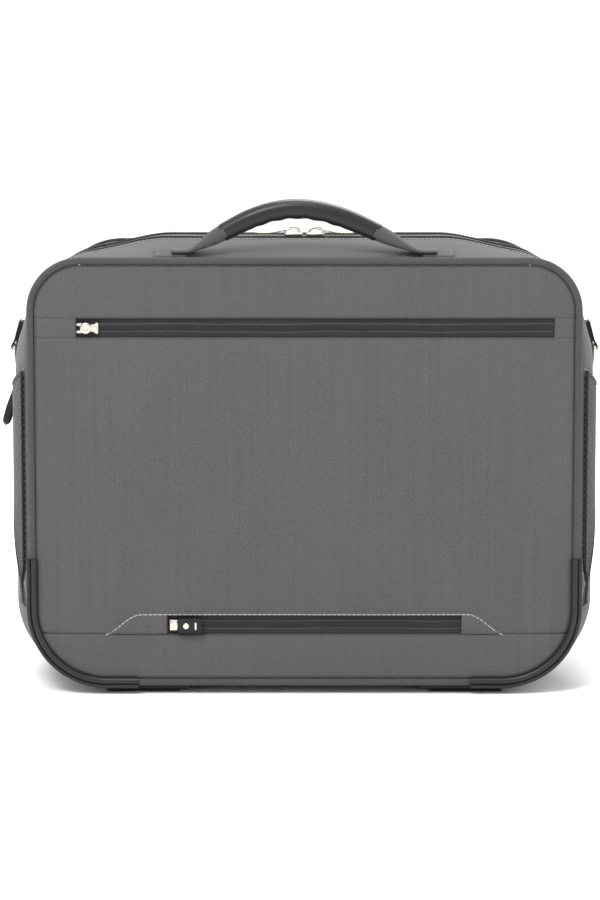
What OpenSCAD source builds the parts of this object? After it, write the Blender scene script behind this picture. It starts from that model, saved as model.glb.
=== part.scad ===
// Rolling laptop case: a padded fabric case whose front half opens forward about the seam behind
// its lower front piping. Two wheels sit in the rear corners and a two-stage pull-out handle runs
// behind the back lining. The front faces -Y, +X is to the right and the floor is at Z = 0.

/* [Case] */
// Width between the centrelines of the left and right front piping
outline_w = 418; // [400:1:440]
// Height of the lower front piping's centreline above the floor
outline_z0 = 9.5; // [8:0.5:12]
// Height of the upper front piping's centreline above the floor
outline_z1 = 335; // [315:1:350]
// Radius of the two upper corners
top_r = 38.4; // [30:0.2:50]
// Radius of the two lower corners
bottom_r = 57; // [50:1:64]
// Depth of the case between the front and rear piping
case_d = 190; // [180:1:200]
// How much narrower each side of the rear outline is
rear_taper = 9; // [0:1:12]
// Radius of the two upper corners at the rear
rear_top_r = 52; // [40:1:56]
// Thickness of the padded fabric walls
wall_t = 4; // [3:0.5:5]
// Radius of the piping
piping_r = 3; // [2:0.25:3.5]
// How far the sides bulge past the piping
side_bulge = 20; // [10:1:22]
// How far the top crowns above the piping
top_crown = 11; // [4:0.5:14]
// How far the bottom sags below the piping
base_sag = 4.5; // [3:0.25:5]

/* [Main zip] */
// Distance from the front piping to the main zip along the top
zip_y = 85; // [75:1:90]
// Width of one zip tape
tape_w = 10; // [8:1:12]

/* [Pocket zips] */
// Height of the middle of the upper pocket zip
upper_zip_z = 284; // [275:1:292]
// Height of the middle of the lower pocket zip
lower_zip_z = 54.5; // [50:0.5:60]
// Height of the zip windows
window_h = 15; // [14:0.5:17]

/* [Wheels] */
// Radius of the wheels
wheel_r = 31; // [28:0.5:31]
// Width of the wheels
wheel_w = 22; // [18:1:22]
// Distance of each wheel's middle from the middle of the case
wheel_x = 178; // [176:1:179]

/* [Pull-out handle] */
// Outer radius of the outer tubes
tube_r = 10; // [10:0.1:10.5]
// Distance of each tube from the middle of the case
tube_x = 66; // [60:1:72]
// Length of each stage's travel
stage_travel = 270; // [200:5:280]

/* [Hidden] */

half_w = outline_w / 2;
front_y = -case_d / 2;
rear_y = case_d / 2;
split_y = front_y + zip_y;
// The fabric starts this far behind the piping's centreline
seam_gap = piping_r + 0.2;
// Height at which the sides' zip ends, just above the lower corners
zip_end_z = outline_z0 + bottom_r + 1.5;
// Clearance between the front half and the rest at the zip
zip_gap = 0.3;
fabric = "#69676a";
mesh_fabric = "#545250";
black = "#2b2c2d";
nickel = "#b9b2a6";
grip_rubber = "#34373a";

// ---- outline and bulge of the fabric walls ----

function smooth(t) = let (c = min(1, max(0, t))) c * c * (3 - 2 * c);

low_x = half_w - bottom_r;
low_z = outline_z0 + bottom_r;
high_x = half_w - top_r;
high_z = outline_z1 - top_r;
rear_w = half_w - rear_taper;
rear_low_x = rear_w - bottom_r;
rear_high_x = rear_w - rear_top_r;
rear_high_z = outline_z1 - rear_top_r;

// An outline point is [front x, front z, outward x, outward z, rear x, rear z]
function low_corner(s, a) =
    [s * low_x + bottom_r * cos(a), low_z + bottom_r * sin(a), cos(a), sin(a),
        s * rear_low_x + bottom_r * cos(a), low_z + bottom_r * sin(a)];

function high_corner(s, a) =
    [s * high_x + top_r * cos(a), high_z + top_r * sin(a), cos(a), sin(a),
        s * rear_high_x + rear_top_r * cos(a), rear_high_z + rear_top_r * sin(a)];

function between(p, q, n) = [for (i = [0 : n]) p + (q - p) * i / n];

// A point on a side at a share of the way from the lower corner to the upper one
function side_point(s, u) = [s * half_w, low_z + (high_z - low_z) * u, s, 0,
    s * rear_w, low_z + (rear_high_z - low_z) * u];

zip_end_u = (zip_end_z - low_z) / (high_z - low_z);
right_low = [for (i = [0 : 9]) low_corner(1, -90 + 10 * i)];
right_straight = between(side_point(1, zip_end_u), side_point(1, 1), 9);
right_high = [for (i = [0 : 7]) high_corner(1, 90 * i / 7)];
top_edge = between(high_corner(1, 90), high_corner(-1, 90), 14);
left_high = [for (i = [0 : 7]) high_corner(-1, 90 + 90 * i / 7)];
left_straight = between(side_point(-1, 1), side_point(-1, zip_end_u), 9);
left_low = [for (i = [0 : 9]) low_corner(-1, 180 + 10 * i)];
bottom_edge = between(low_corner(-1, -90), low_corner(1, -90), 8);

function tail(list) = [for (i = [1 : len(list) - 1]) list[i]];

right_side = concat(right_straight, tail(right_high));
left_side = concat(left_high, tail(left_straight));
right_edge = between(side_point(1, 0), side_point(1, 1), 6);
left_edge = between(side_point(-1, 1), side_point(-1, 0), 6);
whole_outline = concat(right_low, tail(right_edge), tail(right_high), tail(top_edge), tail(left_high),
    tail(left_edge), tail(left_low), tail(between(low_corner(-1, -90), low_corner(1, -90), 4)));
// The outline closes on itself, so the last point is dropped
outline_ring = [for (i = [0 : len(whole_outline) - 2]) whole_outline[i]];

// How far the wall stands out at the middle of the depth, at an outline point
function fullness(p) =
    side_bulge * p[2] * p[2] * (0.45 + 0.55 * smooth((p[1] - 60) / 60)) * smooth((330 - p[1]) / 105)
    + top_crown * pow(max(0, p[3]), 2) * smooth((185 - abs(p[0])) / 70)
    + base_sag * pow(max(0, -p[3]), 2);

// How far the outer face stands out from the piping's centreline, at a depth
function stand_out(p, y) =
    let (t = (y - front_y) / case_d) 1 + fullness(p) * pow(max(0, 4 * t * (1 - t)), 0.75);

// A point of the wall, moved out by the extra amount
function wall_point(p, y, extra) =
    let (s = stand_out(p, y) + extra, t = (y - front_y) / case_d)
    [p[0] + (p[4] - p[0]) * t + s * p[2], y, p[1] + (p[5] - p[1]) * t + s * p[3]];

// Where the front half ends on the sides: the zip curves forward at its lower end
function split_at(z) =
    let (low = front_y + 18) low + (split_y - low) * smooth((z - zip_end_z) / 90);

// ---- closed solids from two grids of points ----

function cell(i, j, n, base) = base + i * n + j;

// Two triangles of a quad, clockwise as seen from outside
function quad(a, b, c, d) = [[a, b, c], [a, c, d]];

function slab_faces(m, n) =
    let (inner = m * n)
    [
        for (i = [0 : m - 2]) for (j = [0 : n - 2])
            each quad(cell(i, j, n, 0), cell(i + 1, j, n, 0), cell(i + 1, j + 1, n, 0), cell(i, j + 1, n, 0)),
        for (i = [0 : m - 2]) for (j = [0 : n - 2])
            each quad(cell(i, j + 1, n, inner), cell(i + 1, j + 1, n, inner), cell(i + 1, j, n, inner),
                cell(i, j, n, inner)),
        for (j = [0 : n - 2])
            each quad(cell(0, j, n, 0), cell(0, j + 1, n, 0), cell(0, j + 1, n, inner), cell(0, j, n, inner)),
        for (j = [0 : n - 2])
            each quad(cell(m - 1, j, n, inner), cell(m - 1, j + 1, n, inner), cell(m - 1, j + 1, n, 0),
                cell(m - 1, j, n, 0)),
        for (i = [0 : m - 2])
            each quad(cell(i, 0, n, 0), cell(i, 0, n, inner), cell(i + 1, 0, n, inner), cell(i + 1, 0, n, 0)),
        for (i = [0 : m - 2])
            each quad(cell(i, n - 1, n, inner), cell(i, n - 1, n, 0), cell(i + 1, n - 1, n, 0),
                cell(i + 1, n - 1, n, inner))
    ];

// A solid from rows of outer points and rows of inner points
module slab(outer, inner) {
    polyhedron(points = concat([for (r = outer) each r], [for (r = inner) each r]),
        faces = slab_faces(len(outer), len(outer[0])));
}

// A strip of wall between two depths given per outline point; extra and t set its two faces
module wall_strip(outline, y0, y1, extra, t, n) {
    steps = [0 : n];
    slab(
        [for (i = [0 : len(outline) - 1])
            [for (j = steps) wall_point(outline[i], y0[i] + (y1[i] - y0[i]) * j / n, extra)]],
        [for (i = [0 : len(outline) - 1])
            [for (j = steps) wall_point(outline[i], y0[i] + (y1[i] - y0[i]) * j / n, extra - t)]]
    );
}

function same(outline, y) = [for (p = outline) y];

// ---- tubes swept along a path ----

// Each frame is [centre, first direction, second direction, first radius, second radius]
function ring_points(f, n) =
    [for (k = [0 : n - 1]) f[0] + f[1] * f[3] * cos(360 * k / n) + f[2] * f[4] * sin(360 * k / n)];

function tube_faces(rings, n, closed) =
    [
        for (i = [0 : rings - (closed ? 1 : 2)]) for (k = [0 : n - 1])
            let (i2 = (i + 1) % rings, k2 = (k + 1) % n)
            each quad(i * n + k, i2 * n + k, i2 * n + k2, i * n + k2),
        if (!closed) [for (k = [0 : n - 1]) k],
        if (!closed) [for (k = [0 : n - 1]) (rings - 1) * n + n - 1 - k]
    ];

module sweep(frames, n, closed = false) {
    polyhedron(points = [for (f = frames) each ring_points(f, n)],
        faces = tube_faces(len(frames), n, closed));
}

// k picks the front outline at 0 and the rear one at 4
function outline_frames(outline, k, y, r) =
    [for (p = outline) [[p[k], y, p[k + 1]], [p[2], 0, p[3]], [0, 1, 0], r, r]];

// ---- flat panels ----

// An outline with true round corners, inset by a distance
module outline_2d(half, corner_r, inset) {
    w = half - inset;
    z0 = outline_z0 + inset;
    z1 = outline_z1 - inset;
    rt = corner_r - inset;
    rb = bottom_r - inset;
    translate([-w, z0 + rb]) square([2 * w, z1 - z0 - rt - rb]);
    translate([-w + rb, z0]) square([2 * (w - rb), rb + 1]);
    translate([-w + rt, z1 - rt - 1]) square([2 * (w - rt), rt + 1]);
    for (s = [-1, 1]) {
        translate([s * (w - rb), z0 + rb]) circle(r = rb, $fn = 96);
        translate([s * (w - rt), z1 - rt]) circle(r = rt, $fn = 96);
    }
}

// A flat sheet of the front outline, from y and t thick towards the rear
module front_sheet(inset, y, t) {
    translate([0, y + t, 0]) rotate([90, 0, 0]) linear_extrude(t) outline_2d(half_w, top_r, inset);
}

// The same with the rear outline
module rear_sheet(inset, y, t) {
    translate([0, y + t, 0]) rotate([90, 0, 0]) linear_extrude(t) outline_2d(rear_w, rear_top_r, inset);
}

module block(low, high) {
    translate(low) cube(high - low);
}

// A cylinder along X
module x_rod(x0, x1, y, z, r) {
    translate([x0, y, z]) rotate([0, 90, 0]) cylinder(r = r, h = x1 - x0, $fn = 64);
}

// ---- front half ----

panel_t = 3;
panel_inset = piping_r + 0.2;
upper_window = [-174, 190.5];
lower_window = [-105.5, 121];
panel_y = front_y - 2;

module window_cut(span, z) {
    block([span[0], panel_y - 1, z - window_h / 2], [span[1], panel_y + panel_t + 1, z + window_h / 2]);
}

module front_panel() {
    color(fabric) difference() {
        front_sheet(panel_inset, panel_y, panel_t);
        window_cut(upper_window, upper_zip_z);
        window_cut(lower_window, lower_zip_z);
    }
}

module front_piping() {
    color(fabric) sweep(outline_frames(outline_ring, 0, front_y, piping_r), 8, true);
}

lining_y = panel_y + panel_t + 1.2;
board_y = front_y + 9;

module pocket_lining() {
    color(black) front_sheet(panel_inset + 2, lining_y, board_y - lining_y - 0.1);
}

module front_board() {
    color(black) front_sheet(panel_inset + 6, board_y, 3);
}

front_start = front_y + seam_gap;

module front_side(outline) {
    wall_strip(outline, same(outline, front_start), [for (p = outline) split_at(p[1]) - tape_w], 0, wall_t, 5);
}

module front_top_gusset() {
    color(fabric)
        wall_strip(top_edge, same(top_edge, front_start), same(top_edge, split_y - tape_w), 0, wall_t, 5);
}

module front_left_gusset() {
    color(fabric) front_side(left_side);
}

module front_right_gusset() {
    color(fabric) front_side(right_side);
}

// The mesh lies on the side wall between two edges that dip towards the zip
mesh_low = 98;
mesh_high = 249;
mesh_dip = 12;
mesh_rows = 16;
mesh_front = front_y + 7;

function mesh_z(i, j, n) = mesh_low + (mesh_high - mesh_low) * i / mesh_rows - mesh_dip * sin(90 * j / n);

module mesh_panel(side) {
    n = 8;
    cells = [for (i = [0 : mesh_rows]) [for (j = [0 : n])
        let (up = side > 0 ? i : mesh_rows - i, z = mesh_z(up, j, n))
        [side_point(side, (z - low_z) / (high_z - low_z)), mesh_front + (split_at(z) - tape_w - 2 - mesh_front) * j / n]]];
    color(mesh_fabric) slab(
        [for (r = cells) [for (c = r) wall_point(c[0], c[1], 1.8)]],
        [for (r = cells) [for (c = r) wall_point(c[0], c[1], 0.5)]]
    );
}

module left_mesh_panel() {
    mesh_panel(-1);
}

module right_mesh_panel() {
    mesh_panel(1);
}

// The guard is a bead over the piping's lower corner
guard_r = 4.2;
guard_x = 128;
guard_z = 105;
guard_u = (guard_z - low_z) / (high_z - low_z);

function guard_end(s) = [s * guard_x, outline_z0, 0, -1, s * guard_x, outline_z0];

module left_corner_guard() {
    path = concat(between(side_point(-1, guard_u), side_point(-1, 0), 3), tail(left_low),
        tail(between(low_corner(-1, -90), guard_end(-1), 2)));
    color(black) guard_shape(path);
}

module right_corner_guard() {
    path = concat(between(guard_end(1), low_corner(1, -90), 2), tail(right_low),
        tail(between(side_point(1, 0), side_point(1, guard_u), 3)));
    color(black) guard_shape(path);
}

// A curved plate in front of the piping, with a crowned face
module guard_shape(path) {
    across = [-1, -0.5, 0, 0.5, 1];
    slab(
        [for (p = path) [for (a = across) guard_point(p, -a * guard_r, -3.1 - 2.2 * (1 - a * a))]],
        [for (p = path) [for (a = across) guard_point(p, -a * guard_r, -3.1)]]
    );
}

function guard_point(p, out, forward) = [p[0] + out * p[2], front_y + forward, p[1] + out * p[3]];

// A zip tape behind its window, and the coil that stands proud of it
tape_t = 0.8;
tape_y = panel_y + panel_t + 0.2;
coil_t = 1.2;
coil_h = 3;

module pocket_tape(span, z) {
    block([span[0] - 3, tape_y, z - window_h / 2 - 2], [span[1] + 3, tape_y + tape_t, z + window_h / 2 + 2]);
}

module pocket_coil(span, z) {
    block([span[0] + 2, tape_y - coil_t, z - coil_h / 2], [span[1] - 2, tape_y, z + coil_h / 2]);
}

module upper_zip_tape() {
    color(black) pocket_tape(upper_window, upper_zip_z);
}

module upper_zip_coil() {
    color(black) pocket_coil(upper_window, upper_zip_z);
}

module lower_zip_tape() {
    color(black) pocket_tape(lower_window, lower_zip_z);
}

module lower_zip_coil() {
    color(black) pocket_coil(lower_window, lower_zip_z);
}

// The folded strip over the lower zip, with slanted ends
welt_low = 49;
welt_high = 65;
welt_foot = 155;
welt_head = 130;

module pocket_welt() {
    y = panel_y - 1.5;
    color(fabric) translate([0, y + 1.3, 0]) rotate([90, 0, 0]) linear_extrude(1.3) difference() {
        polygon([[-welt_foot, welt_low], [-welt_head, welt_high], [welt_head, welt_high],
            [welt_foot, welt_low]]);
        translate([lower_window[0], lower_zip_z - window_h / 2 - 5])
            square([lower_window[1] - lower_window[0], window_h + 5]);
    }
}

// One half of the main zip: a tape with its raised teeth along the split
module zip_half(outline, sign) {
    far = [for (p = outline) split_at(p[1]) + sign * tape_w];
    near = [for (p = outline) split_at(p[1]) + sign * zip_gap];
    y0 = sign < 0 ? far : near;
    y1 = sign < 0 ? near : far;
    wide = sign < 0 ? [0, 0.35, 0.7, 0.71, 1] : [0, 0.29, 0.3, 0.65, 1];
    raised = sign < 0 ? [0, 0, 0, 1.2, 1.2] : [1.2, 1.2, 0, 0, 0];
    slab(
        [for (i = [0 : len(outline) - 1]) [for (j = [0 : 4])
            wall_point(outline[i], y0[i] + (y1[i] - y0[i]) * wide[j], raised[j] - 0.8)]],
        [for (i = [0 : len(outline) - 1]) [for (j = [0 : 4])
            wall_point(outline[i], y0[i] + (y1[i] - y0[i]) * wide[j], -2)]]
    );
}

zip_outline = concat(right_side, tail(top_edge), tail(left_side));

module main_zip_front_tape() {
    color(black) zip_half(zip_outline, -1);
}

module main_zip_rear_tape() {
    color(black) zip_half(zip_outline, 1);
}

// ---- grab handle ----

handle_y = front_y + 15;
tab_x = 115;
// Height of the fabric under the handle
handle_floor = outline_z1 + 1 + top_crown * pow(4 * 15 / case_d * (1 - 15 / case_d), 0.75);
grip_rise = 34.5;
grip_half = 60;
grip_thick = 7.6;
strap_thick = 1.6;
strap_half = 92;

// Height of the handle's middle line above the fabric, an arch that flattens into the tabs
function arch(x) = grip_rise * pow(cos(90 * min(1, abs(x) / strap_half)), 1.25) + 2.6;

function arch_frame(x, ru, rv) =
    let (d = 0.5, slope = atan((arch(x + d) - arch(x - d)) / (2 * d)))
    [[x, handle_y, handle_floor + arch(x)], [sin(slope), 0, -cos(slope)], [0, 1, 0], ru, rv];

module handle_tabs() {
    color(fabric) for (s = [-1, 1]) {
        x0 = s > 0 ? 93.5 : -115.5;
        block([x0, handle_y - 11, handle_floor + 2], [x0 + 22, handle_y + 11, handle_floor + 4.6]);
    }
}

module handle_anchor_plate() {
    z = handle_floor - wall_t - 4.2;
    color(black) block([-120, handle_y - 8, z], [120, handle_y + 10, z + 2]);
}

module handle_strap() {
    color(fabric) for (s = [-1, 1]) {
        near = grip_half + 2;
        span = s < 0 ? [-92.5, -near] : [near, 92.5];
        sweep([for (i = [0 : 8])
            let (x = span[0] + (span[1] - span[0]) * i / 8, fold = 1 - smooth((abs(x) - near) / 28))
            arch_frame(x, strap_thick + 4.2 * fold, 10.8)], 12);
    }
}

// The grip swells in the middle and has four finger hollows underneath
module handle_grip() {
    steps = 32;
    color(grip_rubber) sweep([for (i = [0 : steps])
        let (x = -grip_half + 2 * grip_half * i / steps, near = 1 - smooth((abs(x) - 22) / 14))
        arch_frame(x, grip_thick + 0.5 * near * cos(360 * x / 12.5), 10)], 16);
}

// ---- zip sliders ----

module upper_zip_slider() {
    x = upper_window[0] + 2;
    color(nickel) difference() {
        union() {
            block([x, tape_y - coil_t - 3.4, upper_zip_z - 4], [x + 14, tape_y - coil_t - 0.4, upper_zip_z + 4]);
            translate([x + 6, tape_y - coil_t - 3, upper_zip_z]) rotate([90, 0, 0])
                cylinder(r = 4.5, h = 2, $fn = 48);
        }
        translate([x + 6, tape_y - coil_t - 4, upper_zip_z]) rotate([90, 0, 0])
            cylinder(r = 2, h = 3, $fn = 32);
    }
}

lower_pin_x = lower_window[0] + 7;
lower_pin_y = tape_y - coil_t - 5.3;

module lower_zip_slider() {
    x = lower_window[0] + 2;
    y = tape_y - coil_t - 0.4;
    color(nickel) difference() {
        union() {
            block([x, y - 2.6, lower_zip_z - 4], [x + 13, y, lower_zip_z + 4]);
            block([lower_pin_x - 2.5, lower_pin_y - 2, lower_zip_z - 1.5],
                [lower_pin_x + 2.5, y - 2.5, lower_zip_z + 1.5]);
        }
        translate([lower_pin_x, lower_pin_y, lower_zip_z - 3]) cylinder(r = 1.25, h = 6, $fn = 32);
    }
}

// The puller turns about a pin through the slider's bridge
module lower_zip_pull() {
    low = lower_zip_z - 6;
    y = lower_pin_y;
    color(black) {
        translate([lower_pin_x, y, lower_zip_z - 5]) cylinder(r = 1.2, h = 10, $fn = 32);
        difference() {
            block([lower_pin_x - 1.3, y - 1.4, low], [lower_pin_x + 20, y + 1.4, low + 12]);
            block([lower_pin_x - 3.9, y - 3, lower_zip_z - 2], [lower_pin_x + 3.9, y + 3, lower_zip_z + 2]);
        }
    }
}

main_zip_top = outline_z1 + 1 + top_crown;
main_slider_z = main_zip_top + 1.2;
pull_pin_z = main_slider_z + 5.6;
pull_pin_x = 10;
pull_length = 30;

// The main sliders sit side by side over the teeth; each has a bridge that holds its pull
module main_slider(side) {
    color(nickel) difference() {
        union() {
            block([min(side * 1.2, side * 17), split_y - 5, main_slider_z],
                [max(side * 1.2, side * 17), split_y + 5, main_slider_z + 3]);
            block([side * pull_pin_x - 3, split_y - 1.8, main_slider_z + 2.9],
                [side * pull_pin_x + 3, split_y + 1.8, pull_pin_z + 2.4]);
        }
        translate([side * pull_pin_x, split_y + 4, pull_pin_z]) rotate([90, 0, 0])
            cylinder(r = 1.25, h = 8, $fn = 32);
    }
}

module main_pull(side) {
    far = side * (pull_pin_x + pull_length);
    near = side * (pull_pin_x - 1.6);
    color(nickel) {
        translate([side * pull_pin_x, split_y + 4, pull_pin_z]) rotate([90, 0, 0])
            cylinder(r = 1.2, h = 8, $fn = 32);
        difference() {
            block([min(near, far), split_y - 4, pull_pin_z - 1.2], [max(near, far), split_y + 4, pull_pin_z + 1.2]);
            block([side * pull_pin_x - 4.2, split_y - 2.3, pull_pin_z - 3],
                [side * pull_pin_x + 4.2, split_y + 2.3, pull_pin_z + 3]);
        }
    }
}

module main_slider_left() {
    main_slider(-1);
}

module main_pull_left() {
    main_pull(-1);
}

module main_slider_right() {
    main_slider(1);
}

module main_pull_right() {
    main_pull(1);
}

// ---- rear half ----

housing_y = 34;
housing_z = 78;
back_t = 3;
rear_end = rear_y - seam_gap;

function wall_start(p) = p[1] < zip_end_z - 0.1 ? front_start : split_at(p[1]) + tape_w;

// The lower corners stop at the wheel housings
function wall_end(p) = p[1] < housing_z && abs(p[0]) > low_x - 1 ? housing_y - 0.4 : rear_end;

module rear_side(outline) {
    wall_strip(outline, [for (p = outline) wall_start(p)], [for (p = outline) wall_end(p)], 0, wall_t, 8);
}

module rear_left_gusset() {
    color(fabric) rear_side(concat(left_side, left_low));
}

module rear_right_gusset() {
    color(fabric) rear_side(concat(right_low, right_side));
}

bezel_half = 92;
bezel_y = 76;
bezel_depth = 24;

module rear_top_gusset() {
    color(fabric) difference() {
        wall_strip(top_edge, same(top_edge, split_y + tape_w), same(top_edge, rear_end), 0, wall_t, 6);
        block([-bezel_half - 0.3, bezel_y - bezel_depth / 2 - 0.3, outline_z1 - 20],
            [bezel_half + 0.3, bezel_y + bezel_depth / 2 + 0.3, outline_z1 + 20]);
    }
}

module base_panel() {
    color(fabric)
        wall_strip(bottom_edge, same(bottom_edge, front_start), same(bottom_edge, rear_end), 0, wall_t, 8);
}

base_board_z = outline_z0 + wall_t;

module base_board() {
    color(black) block([-rear_low_x + 1, front_y + 14, base_board_z], [rear_low_x - 1, 58, base_board_z + 3]);
}

module housing_cuts(grow) {
    for (s = [-1, 1])
        block([s > 0 ? housing_in - grow : -half_w - 20, housing_y - grow, -10],
            [s > 0 ? half_w + 20 : -housing_in + grow, rear_y + 20, housing_z + grow]);
}

module back_panel() {
    color(fabric) difference() {
        rear_sheet(panel_inset + 0.6, rear_y - 1, back_t);
        housing_cuts(0.3);
    }
}

// The rear piping runs over the sides and top, from housing to housing
module rear_piping() {
    u = (housing_z + 0.5 - low_z) / (rear_high_z - low_z);
    path = concat(between(side_point(1, u), side_point(1, 1), 6), tail(right_high), tail(top_edge),
        tail(left_high), tail(between(side_point(-1, 1), side_point(-1, u), 6)));
    color(black) sweep(outline_frames(path, 4, rear_y, piping_r), 8);
}

lining_board_y = 59;

module back_lining_board() {
    color(black) difference() {
        rear_sheet(panel_inset + 1, lining_board_y, 3);
        housing_cuts(1);
    }
}

sleeve_half = 195;
sleeve_y = 30;
sleeve_t = 6;
sleeve_z = 80;
sleeve_top = 285;

module laptop_sleeve() {
    color(black) difference() {
        block([-sleeve_half, sleeve_y, sleeve_z], [sleeve_half, lining_board_y - 0.1, sleeve_top]);
        block([-sleeve_half + sleeve_t, sleeve_y + sleeve_t, sleeve_z + 3],
            [sleeve_half - sleeve_t, lining_board_y + 1, sleeve_top + 1]);
    }
}

// The laptop compartment's zip lies on the rear gusset, over the top and down both sides
laptop_zip_y = 30;
module laptop_zip() {
    outline = [for (p = concat(right_side, tail(top_edge), tail(left_side))) if (p[1] > 90) p];
    color(black) wall_strip(outline, same(outline, laptop_zip_y - 6), same(outline, laptop_zip_y + 6), 1.1, 1, 2);
}

side_slider_z = 238;
side_pin_x = -half_w - 19.8;

module side_slider() {
    color(nickel) difference() {
        union() {
            block([side_pin_x + 2, laptop_zip_y - 4.5, side_slider_z - 7],
                [side_pin_x + 4.0, laptop_zip_y + 4.5, side_slider_z + 6]);
            block([side_pin_x - 2.2, laptop_zip_y - 1.6, side_slider_z - 2.4],
                [side_pin_x + 2.1, laptop_zip_y + 1.6, side_slider_z + 2.4]);
        }
        translate([side_pin_x, laptop_zip_y + 4, side_slider_z]) rotate([90, 0, 0])
            cylinder(r = 1.25, h = 8, $fn = 32);
    }
}

side_pull_length = 46;

module side_pull() {
    color(black) {
        translate([side_pin_x, laptop_zip_y + 3.5, side_slider_z]) rotate([90, 0, 0])
            cylinder(r = 1.2, h = 7, $fn = 32);
        difference() {
            block([side_pin_x - 1.2, laptop_zip_y - 4, side_slider_z - side_pull_length],
                [side_pin_x + 1.2, laptop_zip_y + 4, side_slider_z + 1.3]);
            block([side_pin_x - 3, laptop_zip_y - 2, side_slider_z - 3.9],
                [side_pin_x + 3, laptop_zip_y + 2, side_slider_z + 3.9]);
        }
    }
}

// ---- D-rings ----

ring_y = 10;
ring_z = 259;
ring_x = half_w + 19.5;
ring_r = 13;
wire_r = 1.8;
// How far the loop's tab leans in towards the fabric
loop_lean = 24;

// A point of the loop's tab, up along it and in through its thickness
function tab_point(s, up, inward) =
    [-s * (2.4 + up * sin(loop_lean) + inward * cos(loop_lean)),
        up * cos(loop_lean) - inward * sin(loop_lean)];

// A folded loop of webbing round each ring's bar
module ring_loops() {
    color(black) for (s = [-1, 1]) translate([s * ring_x, ring_y + 9, ring_z]) rotate([90, 0, 0])
        linear_extrude(18) difference() {
            union() {
                circle(r = 3.6, $fn = 48);
                polygon([tab_point(s, 0, 0), tab_point(s, 20, 0), tab_point(s, 20, 1.8), tab_point(s, 0, 1.8)]);
            }
            circle(r = wire_r + 0.08, $fn = 48);
        }
}

module d_ring(side) {
    color(nickel) translate([side * ring_x, ring_y, ring_z]) {
        translate([0, ring_r, 0]) rotate([90, 0, 0]) cylinder(r = wire_r, h = 2 * ring_r, $fn = 48);
        rotate([90, 0, 90]) rotate([0, 0, 180]) rotate_extrude(angle = 180, $fn = 64)
            translate([ring_r, 0]) circle(r = wire_r, $fn = 24);
        for (s = [-1, 1]) translate([0, s * ring_r, 0]) sphere(r = wire_r, $fn = 32);
    }
}

module left_d_ring() {
    d_ring(-1);
}

module right_d_ring() {
    d_ring(1);
}

// ---- feet, rails and wheels ----

foot_x = 125;
foot_y = -76;
foot_top = 4.9;

module front_feet() {
    color(black) for (s = [-1, 1]) difference() {
        union() {
            block([s * foot_x - 28, foot_y - 9, 0], [s * foot_x + 28, foot_y + 9, foot_top]);
            block([s * foot_x - 36, foot_y - 11, 2.8], [s * foot_x + 36, foot_y + 11, foot_top]);
        }
        for (k = [-1, 1]) {
            translate([s * foot_x + k * 18, foot_y, -1]) cylinder(r = 4.2, h = 3, $fn = 48);
            translate([s * foot_x + k * 18, foot_y, -1]) cylinder(r = 2.05, h = 8, $fn = 48);
        }
    }
}

module foot_screws() {
    color(nickel) for (s = [-1, 1]) for (k = [-1, 1]) translate([s * foot_x + k * 18, foot_y, 0]) {
        translate([0, 0, 0.4]) cylinder(r = 3.8, h = 1.6, $fn = 48);
        translate([0, 0, 1.9]) cylinder(r = 2, h = 15, $fn = 48);
    }
}

rail_x = 105;

module skid_rails() {
    color(black) for (s = [-1, 1]) {
        block([s * rail_x - 7, rear_y + 2.2, 24], [s * rail_x + 7, rear_y + 4.4, 236]);
        block([s * rail_x - 4, rear_y + 4.3, 30], [s * rail_x + 4, rear_y + 9, 230]);
    }
}

wheel_y = 73;
well_gap = 2.2;
axle_r = 4;
housing_in = rear_low_x + 3.4;
housing_out = rear_w - 2;
housing_r = 25;

// The housing's outline across the case, rounded at its lower outer corner
module housing_2d(side, inset) {
    x0 = housing_in + inset;
    x1 = housing_out - inset;
    z0 = 4 + inset;
    z1 = housing_z - 0.4 - inset;
    r = housing_r - inset;
    mirror([side > 0 ? 0 : 1, 0]) {
        translate([x0, z0]) square([x1 - x0 - r, z1 - z0]);
        translate([x0, z0 + r]) square([x1 - x0, z1 - z0 - r]);
        translate([x1 - r, z0 + r]) circle(r = r, $fn = 96);
    }
}

module housing_prism(side, inset, y0, y1) {
    translate([0, y1, 0]) rotate([90, 0, 0]) linear_extrude(y1 - y0) housing_2d(side, inset);
}

module wheel_housing(side) {
    x0 = wheel_x - wheel_w / 2 - well_gap;
    x1 = wheel_x + wheel_w / 2 + well_gap;
    lo = side > 0 ? x0 : -x1;
    hi = side > 0 ? x1 : -x0;
    well_r = wheel_r + well_gap;
    color(black) difference() {
        housing_prism(side, 0, housing_y, rear_y + 1);
        difference() {
            housing_prism(side, 3, housing_y - 1, rear_y - 2);
            block([lo - 3, housing_y - 2, 0], [hi + 3, rear_y + 3, wheel_r + well_r + 3]);
        }
        x_rod(lo, hi, wheel_y, wheel_r, well_r);
        block([lo, wheel_y, -5], [hi, rear_y + 10, wheel_r]);
        block([lo, wheel_y - well_r, -5], [hi, wheel_y, wheel_r]);
        block([lo, wheel_y, wheel_r - 1], [hi, rear_y + 10, wheel_r + 14]);
        x_rod(lo - 8, hi + 8, wheel_y, wheel_r, axle_r + 0.02);
    }
}

module left_wheel_housing() {
    wheel_housing(-1);
}

module right_wheel_housing() {
    wheel_housing(1);
}

module wheel_axles() {
    color(nickel) for (s = [-1, 1]) {
        out = wheel_w / 2 + well_gap + 5;
        x_rod(s * wheel_x - out, s * wheel_x + out, wheel_y, wheel_r, axle_r);
    }
}

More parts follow.
